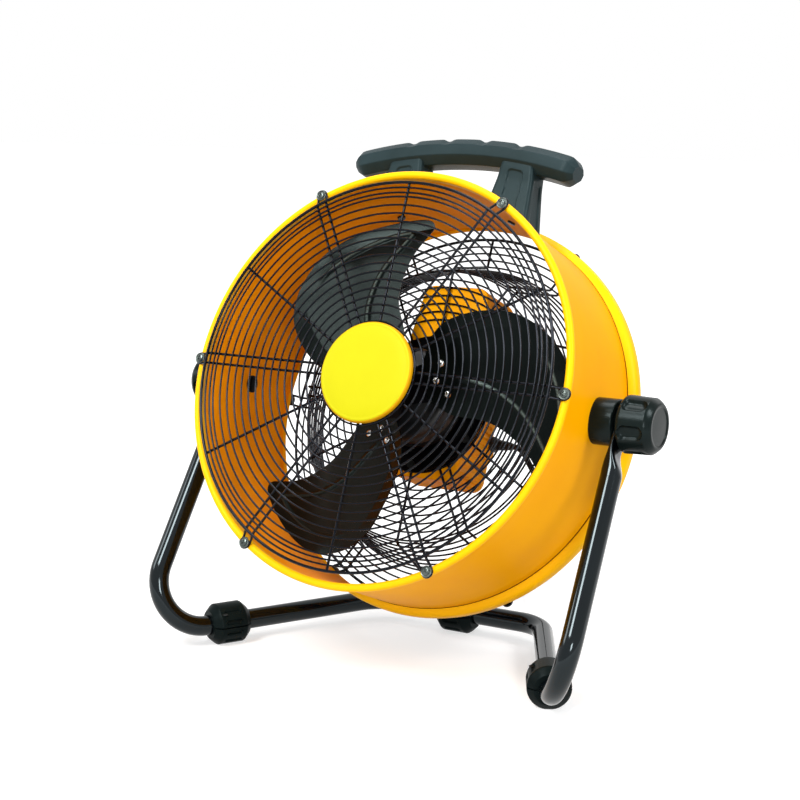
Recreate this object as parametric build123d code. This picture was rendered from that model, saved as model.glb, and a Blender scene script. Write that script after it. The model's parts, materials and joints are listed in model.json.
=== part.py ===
"""A floor-standing drum fan: a steel drum with wire grilles, hung by two clamp knobs in a bent tube stand.

Sizes are in millimetres, +Z is up, -Y is the side that the air leaves by.
Every piece of the drum is drawn square to the drum, with its origin on the fan axis, and is then
leaned back by TILT and lifted to its place. The tilt axis runs a little in front of and below that
origin, and the stand hangs the drum there.
"""

from build123d import *
import os
from math import asin, atan2, cos, degrees, hypot, pi, radians, sin, tan

# ---- where the drum hangs -------------------------------------------------------------------------
DRUM_HEIGHT = 307  # the drum's origin above the floor
DRUM_BACK = 7  # the drum's origin behind the middle of the footprint
TILT = 23  # how far the front of the drum looks up
AXIS_FRONT = 6  # tilt axis in front of the drum's origin, along the fan axis
AXIS_DROP = 3.8  # tilt axis below the fan axis

# ---- drum shell -----------------------------------------------------------------------------------
SHELL_RADIUS = 236  # outside of the drum wall
SHELL_SHEET = 1.2
SHELL_FRONT = -108  # front edge, from the origin
SHELL_BACK = 88  # rear edge
BEAD_STEP = 8  # bead out from the wall
BEAD_LIP_STEP = 1  # bead's lip in from the wall
BEAD_LENGTH = 14
BAND_STEP = 9.5  # rear band out from the wall
BAND_LENGTH = 22
GRILLE_SCREW_STEP = 4  # circle of the eyelets' screws out from the wall

# ---- wire grilles ---------------------------------------------------------------------------------
RING_WIRE = 2.3
RIM_WIRE = 3.6
SPOKE_WIRE = 3.2
HAIRPIN_WIRE = 3
WIRE_PLAY = 0.05  # between wires that cross without a weld
HAIRPIN_SPACING = 11.8
WELD = 0.1  # how deep a welded wire sinks into its neighbour
EYELET_RADIUS = 4.4
FRONT_GRILLE_RISE = 11.5  # ring centres in front of the drum's edge
FRONT_RIM_GAP = 10.5  # rim ring in from the drum wall
FRONT_EDGE_STEPS = (6.5, 12.5, 17.5)  # edge rings in from the rim
FRONT_FIELD_STEP = 27.3  # outermost evenly spaced ring in from the rim
FRONT_FIELD_RINGS = 16
HUB_RING_RADIUS = 50.3
REAR_GRILLE_RISE = 13.8  # ring centres behind the drum's edge
REAR_RIM_GAP = 5.6
REAR_EDGE_PITCH = 8.8
REAR_EDGE_RINGS = 5
BASKET_DEPTH = 79.7
BASKET_FLOOR_RADIUS = 168
BASKET_WALL_RINGS = 8
REAR_FLOOR_INSET = 4  # outermost floor ring in from the floor's edge
REAR_FLOOR_GAP = 22  # innermost floor ring out from the mounting ring
REAR_FLOOR_RINGS = 7
SCREW_HEAD_RADIUS = 5
SCREW_HEAD = 2.6
SCREW_SHANK_RADIUS = 2.2
SCREW_REACH = 3

# ---- badge ----------------------------------------------------------------------------------------
BADGE_OVERLAP = 8.2  # how far the badge reaches past the hub ring
BADGE_THICKNESS = 6.4
BADGE_EDGE = 3.4
BADGE_BEVEL = 5

# ---- motor ----------------------------------------------------------------------------------------
PLATE_RADIUS = 90
PLATE_THICKNESS = 2.5
PLATE_SCREW_CIRCLE = 75
MOUNT_RING_RADIUS = 82
MOUNT_RING_WIDTH = 14
MOUNT_RING_THICKNESS = 3
MOTOR_RADIUS = 56
MOTOR_LENGTH = 46
BELL_WALL = 3
BELL_LENGTH = 14
STATOR_BORE = 33
ROTOR_GAP = 0.8
WINDING_DEPTH = 8
BEARING_RADIUS = 16
BEARING_LENGTH = 9
SHAFT_RADIUS = 6
SHAFT_FIT = 0.05
SHAFT_OVERHANG = 39
TIE_BOLT_CIRCLE = 47
TIE_BOLT_RADIUS = 2

# ---- fan ------------------------------------------------------------------------------------------
FAN_DEPTH = -46.2  # where the blade roots cross the fan axis
BLADES = 3
FIRST_BLADE = 17.2
BLADE_PITCH = 18
BLADE_SHEET = 1.2
SPIDER_SHEET = 2.5
CAMBER_RADIUS = 900
CAMBER_MIDDLE = -30  # where the blade's flat is lowest, along its chord
TIP_GAP = 19.5  # blade tips in from the drum wall
BLADE_ROOT = 36
# blade edges as (share of the tip radius, degrees past the root), from the root out
TRAILING_EDGE = [(0.23, -32), (0.31, -34.4), (0.39, -32), (0.53, -28.7), (0.67, -31), (0.81, -35.4)]
TRAILING_EDGE += [(0.91, -39.6)]
LEADING_EDGE = [(0.25, 34), (0.31, 39), (0.39, 39.3), (0.46, 36.8), (0.6, 28.6), (0.74, 20.5)]
LEADING_EDGE += [(0.87, 10.4), (0.94, 2.6), (0.983, -5.5)]
RIVET_RADIUS = 2.5
RIVET_HEAD_RADIUS = 4.5
RIVET_HEAD = 1.8
INNER_RIVET = 49
OUTER_RIVET = 62
OUTER_RIVET_ANGLE = 16
HUB_RADIUS = 20
HUB_FRONT = -60.2
HUB_BACK = -36.2
HUB_NUT_RADIUS = 10
HUB_NUT = 8

# ---- control box ----------------------------------------------------------------------------------
BOX_CENTRE = 5
BOX_WIDTH = 94
BOX_BOTTOM = -88
BOX_TOP = 146
BOX_DEPTH = 75
BOX_TOP_WIDTH = 78
BOX_TAPER = 60
BOX_CORNER = 14
BOX_WALL = 2.5
BOX_BASE = 4
BULGE_REACH = 62
BULGE_CENTRE = -34
BULGE_RADIUS = 27
SWITCH_HEIGHT = 96
SWITCH_SIZE = 34
SWITCH_DEPTH = 26
STEM_RADIUS = 4
STEM_LENGTH = 8
SPEED_KNOB_RADIUS = 20
SPEED_KNOB = 16
SKIRT = 5
GRIP_WIDTH = 9
PILLAR_RADIUS = 4
CAPACITOR_RADIUS = 16
CAPACITOR_LENGTH = 56
CAPACITOR_HEIGHT = 20

# ---- handle ---------------------------------------------------------------------------------------
HANDLE_LENGTH = 298
HANDLE_DEPTH = 39
HANDLE_GAP = 52  # finger room between the drum wall and the middle of the bar
HANDLE_THICKNESS = 32
HANDLE_ARCH_RADIUS = 540
HANDLE_CHAMFER = 10
HANDLE_END_CHAMFER = 8
POST_CENTRE = 76
POST_WIDTH = 43
POST_FOOT_WIDTH = 58
POST_FOOT_DEPTH = 46
NOTCHES = 4
NOTCH_PITCH = 47.5
NOTCH_RADIUS = 8
NOTCH_DEPTH = 3.4
HANDLE_SCREW_LENGTH = 16

# ---- tilt pivots ----------------------------------------------------------------------------------
PIVOT_BOLT_RADIUS = 5
PIVOT_FIT = 0.05
BOLT_CLEARANCE = 0.2
SPACER_RADIUS = 26.4
SPACER_LENGTH = 26  # from the drum wall out
PLAY = 0.3  # gap between faces that turn on each other
LUG_THICKNESS = 4.5
LUG_RADIUS = 15
LUG_LENGTH = 40
LUG_TRANSITION = 24
LUG_STEP = 0.4
KNOB_RADIUS = 32.5
KNOB_LENGTH = 42
KNOB_CHAMFER = 7
KNOB_FLANGE = 12
KNOB_CAP = 12
KNOB_DISC_RADIUS = 20.5
FINGER_RADIUS = 11
FINGER_DEPTH = 4.5
FINGERS = 6
BACKING_RADIUS = 10.5
BACKING_SHEET = 1.5
BOLT_HEAD_RADIUS = 8.5
BOLT_HEAD = 2.4

# ---- stand ----------------------------------------------------------------------------------------
TUBE_RADIUS = 12
TUBE_WALL = 1.5
ARM_TOP_OFFSET = 3.7  # middle of the arm's round end out from the lug's inner face
ARM_SPLAY = 11.3
FRONT_REACH = 191.3  # front corners of the tube in front of the drum's origin
REAR_CORNER = (115.3, 101.1)
FOOT_RADIUS = 25
FRONT_BEND = 54
REAR_BEND = 51
FOOT_LENGTH = 48
FOOT_CHAMFER = 8
FOOT_SPLIT = 0.6
FOOT_FIT = 0.05
FOOT_FLAT = 1  # cut off the bottom of each foot, to stand on
FRONT_FOOT_SHARE = 0.36  # how far back along the side tube the front feet sit
FOOT_SCREW_OFFSET = 18.5
FOOT_SCREW_SPACING = 22
FOOT_SCREW_RADIUS = 2
FOOT_SCREW_HEAD_RADIUS = 3.6
FOOT_SCREW_SEAT = 9

# ---- mains cord, places from the drum's origin ----------------------------------------------------------
CORD_RADIUS = 3.5
GLAND_RADIUS = 7
GLAND_FLANGE_RADIUS = 9.5
GLAND_FLANGE = 2.5
GLAND_LENGTH = 26  # tapered sleeve outside the box
GLAND_TIP_RADIUS = 4.4
GLAND_INSIDE = 9
GLAND_DEPTH = 88.8
GLAND_HEIGHT = -27
CORD_LEAD = 12  # straight out of the sleeve
CORD_ROUTE = [
    (112, 69, -79),
    (130, 72, -108),
    (134, 90, -146),
    (116, 122, -188),
    (84, 160, -226),
    (46, 204, -262),
    (10, 252, -291),
    (-12, 304, -303.2),
]
COIL_CENTRE = (-59, 356)
COIL_RADIUS = 40
COIL_WIDTH = 21
COIL_HEIGHT = 14
PLUG_LENGTH = 38
PLUG_WIDTH = 30
PLUG_HEIGHT = 22
PIN_RADIUS = 2.4
PIN_LENGTH = 19
PIN_SPACING = 19
TIE_WIDTH = 6
TIE_SHEET = 1
TAIL_LENGTH = 58

FLOOR = -DRUM_HEIGHT
TUBE_LEVEL = FLOOR + FOOT_RADIUS - FOOT_FLAT
SIX = [60 * k for k in range(6)]
bead_radius = SHELL_RADIUS + BEAD_STEP
bead_lip_radius = SHELL_RADIUS - BEAD_LIP_STEP
band_radius = SHELL_RADIUS + BAND_STEP
grille_screw_circle = SHELL_RADIUS + GRILLE_SCREW_STEP
front_rim = SHELL_RADIUS - FRONT_RIM_GAP
front_pitch = (front_rim - FRONT_FIELD_STEP - HUB_RING_RADIUS) / (FRONT_FIELD_RINGS - 1)
rear_rim = SHELL_RADIUS - REAR_RIM_GAP
basket_mouth = rear_rim - REAR_EDGE_PITCH * (REAR_EDGE_RINGS - 1) - RING_WIRE + WELD
floor_ring_out = BASKET_FLOOR_RADIUS - REAR_FLOOR_INSET
floor_pitch = (floor_ring_out - MOUNT_RING_RADIUS - REAR_FLOOR_GAP) / (REAR_FLOOR_RINGS - 1)
badge_radius = HUB_RING_RADIUS + BADGE_OVERLAP
blade_tip = SHELL_RADIUS - TIP_GAP
handle_middle = SHELL_RADIUS + HANDLE_GAP + HANDLE_THICKNESS / 2
ring_front = SHELL_FRONT - FRONT_GRILLE_RISE
spoke_front = ring_front + RING_WIRE / 2 + SPOKE_WIRE / 2 + WIRE_PLAY
ring_back = SHELL_BACK + REAR_GRILLE_RISE
spoke_back = ring_back - RING_WIRE / 2 - SPOKE_WIRE / 2 - WIRE_PLAY
basket_floor = spoke_back - BASKET_DEPTH
floor_rings = basket_floor + ring_back - spoke_back
floor_back = floor_rings + RING_WIRE / 2
plate_back = basket_floor - SPOKE_WIRE / 2
plate_front = plate_back - PLATE_THICKNESS
motor_front = plate_front - MOTOR_LENGTH
box_front = floor_back
box_back = box_front + BOX_DEPTH
lug_inner = SHELL_RADIUS + SPACER_LENGTH + PLAY
lug_outer = lug_inner + LUG_THICKNESS
arm_top_x = lug_inner + ARM_TOP_OFFSET
front_corner = (arm_top_x + ARM_SPLAY, -FRONT_REACH)
knob_inner = lug_outer + PLAY
knob_outer = knob_inner + KNOB_LENGTH


# ---- shared forms -----------------------------------------------------------------------------------
def mitred(path, offset):
    """The open path moved sideways by offset, to its left, with mitred corners."""
    steps = [(b[0] - a[0], b[1] - a[1]) for a, b in zip(path, path[1:])]
    normals = [(-dy / hypot(dx, dy), dx / hypot(dx, dy)) for dx, dy in steps]
    pairs = zip([normals[0]] + normals, normals + [normals[-1]])
    moved = []
    for (x, y), (n, m) in zip(path, pairs):
        share = offset / (1 + n[0] * m[0] + n[1] * m[1])
        moved.append((x + (n[0] + m[0]) * share, y + (n[1] + m[1]) * share))
    return moved


def strip(path, left, right):
    """The face between the path moved left and the path moved right."""
    return make_face(Polyline(*mitred(path, left), *reversed(mitred(path, -right)), close=True))


def turned(*corners):
    """A ring about the fan axis from (radius, depth) corners."""
    return revolve(make_face(Polyline(*corners, close=True)), Axis.Y)


def disc(radius, front, back, bore=0):
    """A round slab about the fan axis."""
    face = Circle(radius) - Circle(bore) if bore else Circle(radius)
    return slab(face, front, back)


def slab(face, front, back):
    """A drum-front outline made solid between two depths."""
    return extrude(Plane.XZ.offset(-back) * face, back - front)


def stud(radius):
    """The section of a small screw, rivet or bolt, drawn with eight sides."""
    return RegularPolygon(radius, 8)


def across(radius, start, end):
    """A round bar along the tilt axis."""
    return Pos((start + end) / 2, 0, 0) * Rot(0, 90, 0) * Cylinder(radius, end - start)


def at_angle(shape, angle):
    """The shape turned about the fan axis, counter-clockwise as seen from the front."""
    return Rot(0, -angle, 0) * shape


def drum_bore(radius):
    """The space inside a radius, longer than the drum."""
    return disc(radius, 2 * SHELL_FRONT, 2 * SHELL_BACK)


def on_axis(shape):
    """The shape moved from the drum's origin to the tilt axis."""
    return Pos(0, -AXIS_FRONT, -AXIS_DROP) * shape


def left_and_right(shape):
    """The left-hand and the right-hand piece of a pair that is drawn for the right."""
    return mirror(shape, Plane.YZ), shape


# ---- drum shell ---------------------------------------------------------------------------------------
def drum_shell():
    """The rolled wall with its front bead and rear band, holed for the tilt bolts."""
    sheet = [
        (bead_lip_radius, SHELL_FRONT + BEAD_LENGTH * 0.6),
        (grille_screw_circle - 1.5, SHELL_FRONT),
        (grille_screw_circle + 1.5, SHELL_FRONT),
        (bead_radius, SHELL_FRONT + BEAD_LENGTH * 0.4),
        (SHELL_RADIUS, SHELL_FRONT + BEAD_LENGTH),
        (SHELL_RADIUS, SHELL_BACK - BAND_LENGTH),
        (band_radius, SHELL_BACK - BAND_LENGTH * 0.7),
        (band_radius, SHELL_BACK - BAND_LENGTH * 0.2),
        (grille_screw_circle + 1.5, SHELL_BACK),
        (grille_screw_circle - 2.5, SHELL_BACK),
    ]
    wall = revolve(strip(sheet, SHELL_SHEET, 0), Axis.Y)
    reach = SHELL_RADIUS * 1.1
    return wall - on_axis(across(PIVOT_BOLT_RADIUS + BOLT_CLEARANCE, -reach, reach))


# ---- wire grilles -------------------------------------------------------------------------------------
def wire_ring(radius, depth, wire=RING_WIRE):
    """One ring of square wire, straight between enough corners to read as round."""
    sides = 24 if radius > 120 else 12
    corner = radius / cos(pi / sides)
    outer = RegularPolygon(corner + wire / 2, sides, rotation=180 / sides)
    inner = RegularPolygon(corner - wire / 2, sides, rotation=180 / sides)
    return slab(outer - inner, depth - wire / 2, depth + wire / 2)


def spoke(path, wire, sideways=0):
    """A wire that runs outward along a (radius, depth) path."""
    return Pos(0, 0, sideways) * extrude(strip(path, wire / 2, wire / 2), wire / 2, both=True)


def welded(path, rings_side):
    """A spoke that sinks into every ring it crosses; rings_side is -1 where the rings are in front."""
    grown = WIRE_PLAY + WELD
    left, right = (grown, 0) if rings_side > 0 else (0, grown)
    half = SPOKE_WIRE / 2
    return extrude(strip(path, half + left, half + right), half, both=True)


def hairpin(path, seat):
    """Two legs joined by the eyelet that goes round the screw; seat is the eyelet's middle depth."""
    legs = [spoke(path, HAIRPIN_WIRE, side * HAIRPIN_SPACING / 2) for side in (-1, 1)]
    outer = (HAIRPIN_SPACING + HAIRPIN_WIRE) / 2 / cos(pi / 12)
    bend = RegularPolygon(outer, 12, rotation=15) - stud(EYELET_RADIUS)
    bend = Pos(grille_screw_circle, 0) * (bend & Pos(outer, 0) * Rectangle(2 * outer, 3 * outer))
    return legs[0] + legs[1] + slab(bend, seat - HAIRPIN_WIRE / 2, seat + HAIRPIN_WIRE / 2)


def spokes(plain, stepped, seat, rings_side):
    """Six spokes and six hairpins; the two upright spokes are the ones welded to every ring."""
    wires = []
    for angle in SIX:
        upright = angle + 30 in (90, 270)
        bar = welded(plain, rings_side) if upright else spoke(plain, SPOKE_WIRE)
        wires += [at_angle(bar, angle + 30), at_angle(hairpin(stepped, seat), angle)]
    return wires


def front_ring_radii():
    """Ring radii inside the rim, from the outermost in."""
    edge = [front_rim - step for step in FRONT_EDGE_STEPS]
    field = [HUB_RING_RADIUS + front_pitch * k for k in reversed(range(FRONT_FIELD_RINGS))]
    return edge + field


def front_grille():
    """Flat concentric rings on six spokes and six hairpins that reach back to the bead."""
    radii = front_ring_radii()
    hub = radii[-1]
    seat = SHELL_FRONT - HAIRPIN_WIRE / 2
    plain = [(hub, spoke_front), (front_rim, spoke_front)]
    stepped = [(hub, spoke_front), (front_rim + 2, spoke_front)]
    stepped += [(front_rim + 9, seat), (grille_screw_circle, seat)]
    grille = wire_ring(front_rim, ring_front + (RIM_WIRE - RING_WIRE) / 2, RIM_WIRE)
    grille += [wire_ring(radius, ring_front) for radius in radii[:-1]]
    grille += wire_ring(hub, ring_front + (RIM_WIRE - RING_WIRE) / 2, RIM_WIRE)
    grille += spokes(plain, stepped, seat, -1)
    return grille


def grille_screws(seat, direction):
    """Six screws through the eyelets; direction is -1 at the front and 1 at the back."""
    ends = sorted((seat, seat + direction * SCREW_HEAD))
    reach = sorted((seat, seat - direction * (HAIRPIN_WIRE + SCREW_REACH)))
    head = slab(stud(SCREW_HEAD_RADIUS), *ends)
    shank = slab(stud(SCREW_SHANK_RADIUS), *reach)
    screw = Pos(grille_screw_circle, 0, 0) * (head + shank)
    return Compound(children=[at_angle(screw, angle) for angle in SIX])


def rear_grille():
    """Edge rings behind the drum, a conical wall into it and a flat floor round the motor."""
    seat = SHELL_BACK + HAIRPIN_WIRE / 2
    inner = MOUNT_RING_RADIUS
    corner = (BASKET_FLOOR_RADIUS, basket_floor)
    mouth = (basket_mouth, spoke_back)
    slope = hypot(mouth[0] - corner[0], mouth[1] - corner[1])
    run, rise = (mouth[0] - corner[0]) / slope, (mouth[1] - corner[1]) / slope
    lift = ring_back - spoke_back + RING_WIRE / 2 * (run + rise - 1)
    plain = [(inner, basket_floor), corner, mouth, (rear_rim, spoke_back)]
    stepped = plain[:3] + [(rear_rim - 1, spoke_back), (rear_rim + 4, seat)]
    stepped += [(grille_screw_circle, seat)]
    rim_shift = (RIM_WIRE - RING_WIRE) / 2
    grille = wire_ring(rear_rim, ring_back - rim_shift, RIM_WIRE)
    for k in range(1, REAR_EDGE_RINGS):
        grille += wire_ring(rear_rim - REAR_EDGE_PITCH * k, ring_back)
    for k in range(BASKET_WALL_RINGS):
        share = (k + 0.5) / BASKET_WALL_RINGS
        radius = corner[0] + (mouth[0] - corner[0]) * share - rise * lift
        depth = corner[1] + (mouth[1] - corner[1]) * share + run * lift
        grille += wire_ring(radius, depth)
    for k in range(REAR_FLOOR_RINGS):
        grille += wire_ring(floor_ring_out - floor_pitch * k, floor_rings)
    grille += wire_ring(MOUNT_RING_RADIUS, floor_rings - rim_shift, RIM_WIRE)
    grille += spokes(plain, stepped, seat, 1)
    return grille


def front_badge():
    """The plain dished cap in the middle of the front grille."""
    back = ring_front - RING_WIRE / 2
    front = back - BADGE_THICKNESS
    return turned(
        (0, back),
        (badge_radius, back),
        (badge_radius, back - BADGE_EDGE),
        (badge_radius - BADGE_BEVEL, front + 0.8),
        (badge_radius * 0.5, front),
        (0, front),
    )


# ---- motor --------------------------------------------------------------------------------------------
def motor_plate():
    """The black disc that carries the motor on the floor of the rear grille."""
    screws = PolarLocations(PLATE_SCREW_CIRCLE, 6, start_angle=30) * stud(SCREW_SHANK_RADIUS)
    bolts = PolarLocations(TIE_BOLT_CIRCLE, 4, start_angle=45) * stud(TIE_BOLT_RADIUS)
    face = Circle(PLATE_RADIUS) - Circle(BEARING_RADIUS) - screws - bolts
    return slab(face, plate_front, plate_back)


def plate_screws():
    """Six screws that hold the plate to the mounting ring behind it."""
    head = slab(stud(SCREW_HEAD_RADIUS), plate_front - SCREW_HEAD, plate_front)
    shank = slab(stud(SCREW_SHANK_RADIUS), plate_front, plate_back + MOUNT_RING_THICKNESS)
    screw = Pos(PLATE_SCREW_CIRCLE, 0, 0) * (head + shank)
    return Compound(children=[at_angle(screw, angle + 30) for angle in SIX])


def mounting_ring():
    """The flat ring inside the innermost wire that the plate screws bite into."""
    outer = MOUNT_RING_RADIUS - RIM_WIRE / 2
    screws = PolarLocations(PLATE_SCREW_CIRCLE, 6, start_angle=30) * stud(SCREW_SHANK_RADIUS)
    face = Circle(outer) - Circle(outer - MOUNT_RING_WIDTH) - screws
    return slab(face, plate_back, plate_back + MOUNT_RING_THICKNESS)


def tie_bolt_space():
    """The room that the four long bolts take through the motor."""
    spots = PolarLocations(TIE_BOLT_CIRCLE, 4, start_angle=45) * stud(TIE_BOLT_RADIUS)
    return slab(Sketch() + spots, motor_front, plate_back)


def motor_bell(mouth, end):
    """A cup with a bearing seat in its end; mouth and end are depths along the fan axis."""
    way = 1 if mouth > end else -1
    floor = end + way * BELL_WALL
    seat = floor + way * BEARING_LENGTH
    bell = turned(
        (SHAFT_RADIUS + 2, end),
        (MOTOR_RADIUS - 8, end),
        (MOTOR_RADIUS, end + way * 6),
        (MOTOR_RADIUS, mouth),
        (MOTOR_RADIUS - BELL_WALL, mouth),
        (MOTOR_RADIUS - BELL_WALL, floor + way * 4),
        (MOTOR_RADIUS - BELL_WALL - 6, floor),
        (BEARING_RADIUS + BELL_WALL, floor),
        (BEARING_RADIUS + BELL_WALL, seat),
        (BEARING_RADIUS, seat),
        (BEARING_RADIUS, floor),
        (SHAFT_RADIUS + 2, floor),
    )
    return bell - tie_bolt_space()


def bearing(end, way):
    """A ball bearing drawn as one ring that fills its seat."""
    near = end + way * BELL_WALL
    ends = sorted((near, near + way * BEARING_LENGTH))
    return disc(BEARING_RADIUS, *ends, bore=SHAFT_RADIUS + SHAFT_FIT)


def stator():
    """The laminated core between the two bells, round outside and slotted inside."""
    face = Circle(MOTOR_RADIUS - BELL_WALL) - Circle(STATOR_BORE)
    face -= PolarLocations(STATOR_BORE + 4, 12) * Rectangle(10, 5)
    core = slab(face, motor_front + BELL_LENGTH, plate_front - BELL_LENGTH)
    return core - tie_bolt_space()


def windings():
    """The coil ends that stand out of the core at both sides."""
    front = motor_front + BELL_LENGTH
    back = plate_front - BELL_LENGTH
    inner = STATOR_BORE + ROTOR_GAP
    outer = TIE_BOLT_CIRCLE - TIE_BOLT_RADIUS - ROTOR_GAP
    pair = [disc(outer, front - WINDING_DEPTH, front, bore=inner)]
    pair += [disc(outer, back, back + WINDING_DEPTH, bore=inner)]
    return Compound(children=pair)


def motor_bolts():
    """Four long bolts from the front bell through the core and the plate."""
    head = slab(RegularPolygon(SCREW_SHANK_RADIUS * 1.8, 6), motor_front - SCREW_HEAD, motor_front)
    bolt = head + slab(stud(TIE_BOLT_RADIUS), motor_front, plate_back)
    bolt = Pos(TIE_BOLT_CIRCLE, 0, 0) * bolt
    return Compound(children=[at_angle(bolt, angle) for angle in (45, 135, 225, 315)])


# ---- fan ----------------------------------------------------------------------------------------------
def motor_shaft():
    """The shaft from the rear bearing out through the hub."""
    return disc(SHAFT_RADIUS, motor_front - SHAFT_OVERHANG, plate_front - BELL_WALL)


def rotor_core():
    """The core on the shaft that the field turns."""
    front = motor_front + BELL_LENGTH
    back = plate_front - BELL_LENGTH
    return disc(STATOR_BORE - ROTOR_GAP, front, back, bore=SHAFT_RADIUS)


def blade_frame(angle):
    """Where a blade's flat lies: X outward along its root, Y along its chord, Z to the front."""
    return Rot(0, -angle, 0) * Pos(0, FAN_DEPTH, 0) * Rot(90 + BLADE_PITCH, 0, 0)


def camber_rise(y):
    """How far the blade's back face stands above its lowest line at a place along the chord."""
    return CAMBER_RADIUS - (CAMBER_RADIUS**2 - (y - CAMBER_MIDDLE) ** 2) ** 0.5


def cambered(outline, lift, thickness):
    """The outline pressed to the blade's curve, its back face lift above the blade's own."""
    radius = CAMBER_RADIUS - lift
    ring = Pos(CAMBER_MIDDLE, CAMBER_RADIUS) * (Circle(radius) - Circle(radius - thickness))
    reach = 2 * blade_tip
    arc = ring & Pos(CAMBER_MIDDLE, reach / 4) * Rectangle(reach, reach * 0.6)
    return extrude(Plane.YZ * arc, reach) & extrude(outline, reach / 4, both=True)


def rivet_spots():
    """The three rivets of one blade, as places in the blade's own flat."""
    far = [polar(OUTER_RIVET, angle) for angle in (-OUTER_RIVET_ANGLE, OUTER_RIVET_ANGLE)]
    return [(INNER_RIVET, 0)] + far


def rivet_sections(radius):
    """The section of each rivet of one blade."""
    return Sketch() + [Pos(x, y) * stud(radius) for x, y in rivet_spots()]


def polar(radius, angle):
    """A point of a blade's flat from its distance to the fan axis and its angle past the root."""
    return radius * cos(radians(angle)), radius * sin(radians(angle)) / cos(radians(BLADE_PITCH))


def blade_outline():
    """A narrow root that opens into a broad, swept, round-ended blade."""
    low, high = polar(BLADE_ROOT, -27), polar(BLADE_ROOT, 27)
    trailing = [polar(blade_tip * share, angle) for share, angle in TRAILING_EDGE]
    leading = [polar(blade_tip * share, angle) for share, angle in LEADING_EDGE]
    swept_end, tip_end, rim_end = polar(blade_tip * 0.955, -41.2), polar(blade_tip, -36.5), polar(blade_tip, -16)
    swept = Spline(low, *trailing, swept_end)
    tip = ThreePointArc(swept_end, polar(blade_tip * 0.988, -40.1), tip_end)
    rim = ThreePointArc(tip_end, polar(blade_tip * 1.001, -26), rim_end)
    lead = Spline(rim_end, *reversed(leading), high)
    root = ThreePointArc(high, (BLADE_ROOT + 1, 0), low)
    return make_face(Curve() + [swept, tip, rim, lead, root])


def blade(number):
    """One pressed sheet blade, holed for its rivets."""
    outline = blade_outline() - rivet_sections(RIVET_RADIUS)
    angle = FIRST_BLADE + 360 / BLADES * number
    return blade_frame(angle) * cambered(outline, 0, BLADE_SHEET)


def hub_spider():
    """The hub and the three arms that the blades are riveted to."""
    pads = rivet_sections(RIVET_HEAD_RADIUS + 2.5) + stud(HUB_RADIUS * 0.9)
    arm = make_hull(pads.edges()) - rivet_sections(RIVET_RADIUS)
    spider = disc(HUB_RADIUS, HUB_FRONT, HUB_BACK)
    for number in range(BLADES):
        frame = blade_frame(FIRST_BLADE + 360 / BLADES * number)
        spider += frame * cambered(arm, -SPIDER_SHEET, SPIDER_SHEET)
    return spider - disc(SHAFT_RADIUS, 2 * HUB_FRONT, 0)


def blade_rivets():
    """Three rivets in each blade, headed on both sides."""
    low, high = -SPIDER_SHEET - RIVET_HEAD, BLADE_SHEET + RIVET_HEAD
    rivet = Pos(0, 0, low) * extrude(stud(RIVET_RADIUS), high - low)
    for end in (low, high - RIVET_HEAD):
        rivet += Pos(0, 0, end) * extrude(stud(RIVET_HEAD_RADIUS), RIVET_HEAD)
    rivets = []
    for number in range(BLADES):
        frame = blade_frame(FIRST_BLADE + 360 / BLADES * number)
        for x, y in rivet_spots():
            lean = degrees(asin((y - CAMBER_MIDDLE) / CAMBER_RADIUS))
            rivets.append(frame * Pos(x, y, camber_rise(y)) * Rot(lean, 0, 0) * rivet)
    return Compound(children=rivets)


def hub_nut():
    """The hexagon nut that closes the hub on the shaft's end."""
    return slab(RegularPolygon(HUB_NUT_RADIUS, 6) - Circle(SHAFT_RADIUS), HUB_FRONT - HUB_NUT, HUB_FRONT)


# ---- control box --------------------------------------------------------------------------------------
def box_outline(grow=0):
    """The box from the front: upright, narrower at the top, swollen where the cord leaves."""
    half, top, shoulder = BOX_WIDTH / 2, BOX_TOP_WIDTH / 2, BOX_TOP - BOX_TAPER
    body = Polygon(
        (-half, BOX_BOTTOM), (half, BOX_BOTTOM), (half, shoulder),
        (top, BOX_TOP), (-top, BOX_TOP), (-half, shoulder), align=None,
    )
    body = Pos(BOX_CENTRE, 0) * fillet(body.vertices(), BOX_CORNER)
    outline = body + Pos(BULGE_REACH - BULGE_RADIUS, BULGE_CENTRE) * Circle(BULGE_RADIUS)
    return offset(outline, grow) if grow else outline


def control_box():
    """The housing that stands in the well of the rear grille, open towards the drum."""
    outer = slab(box_outline(), box_front + BOX_BASE, box_back)
    inner = slab(box_outline(-BOX_WALL), box_front + BOX_BASE, box_back - BOX_WALL)
    box = chamfer(outer.faces().sort_by(Axis.Y)[-1].edges(), BOX_WALL * 0.8) - inner
    stem = Pos(BOX_CENTRE, 0, SWITCH_HEIGHT) * disc(STEM_RADIUS + SHAFT_FIT, box_front + BOX_BASE, box_back)
    gland = across(GLAND_RADIUS, BULGE_REACH - GLAND_INSIDE, BULGE_REACH + GLAND_FLANGE)
    return box - stem - Pos(0, GLAND_DEPTH, GLAND_HEIGHT) * gland


def control_box_base():
    """The flat floor of the box, against the rear grille."""
    return slab(box_outline(), box_front, box_front + BOX_BASE)


def control_box_screws():
    """Four pillars with screws that pull the box onto its floor."""
    low, high = BOX_BOTTOM + BOX_CORNER + 2, BOX_TOP - BOX_CORNER - 4
    spots = [(side * (BOX_WIDTH / 2 - BOX_CORNER - 2), low) for side in (-1, 1)]
    spots += [(side * (BOX_TOP_WIDTH / 2 - BOX_CORNER - 2), high) for side in (-1, 1)]
    pillar = slab(stud(PILLAR_RADIUS), box_front + BOX_BASE, box_back - BOX_WALL)
    return Compound(children=[Pos(BOX_CENTRE + x, 0, z) * pillar for x, z in spots])


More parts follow.
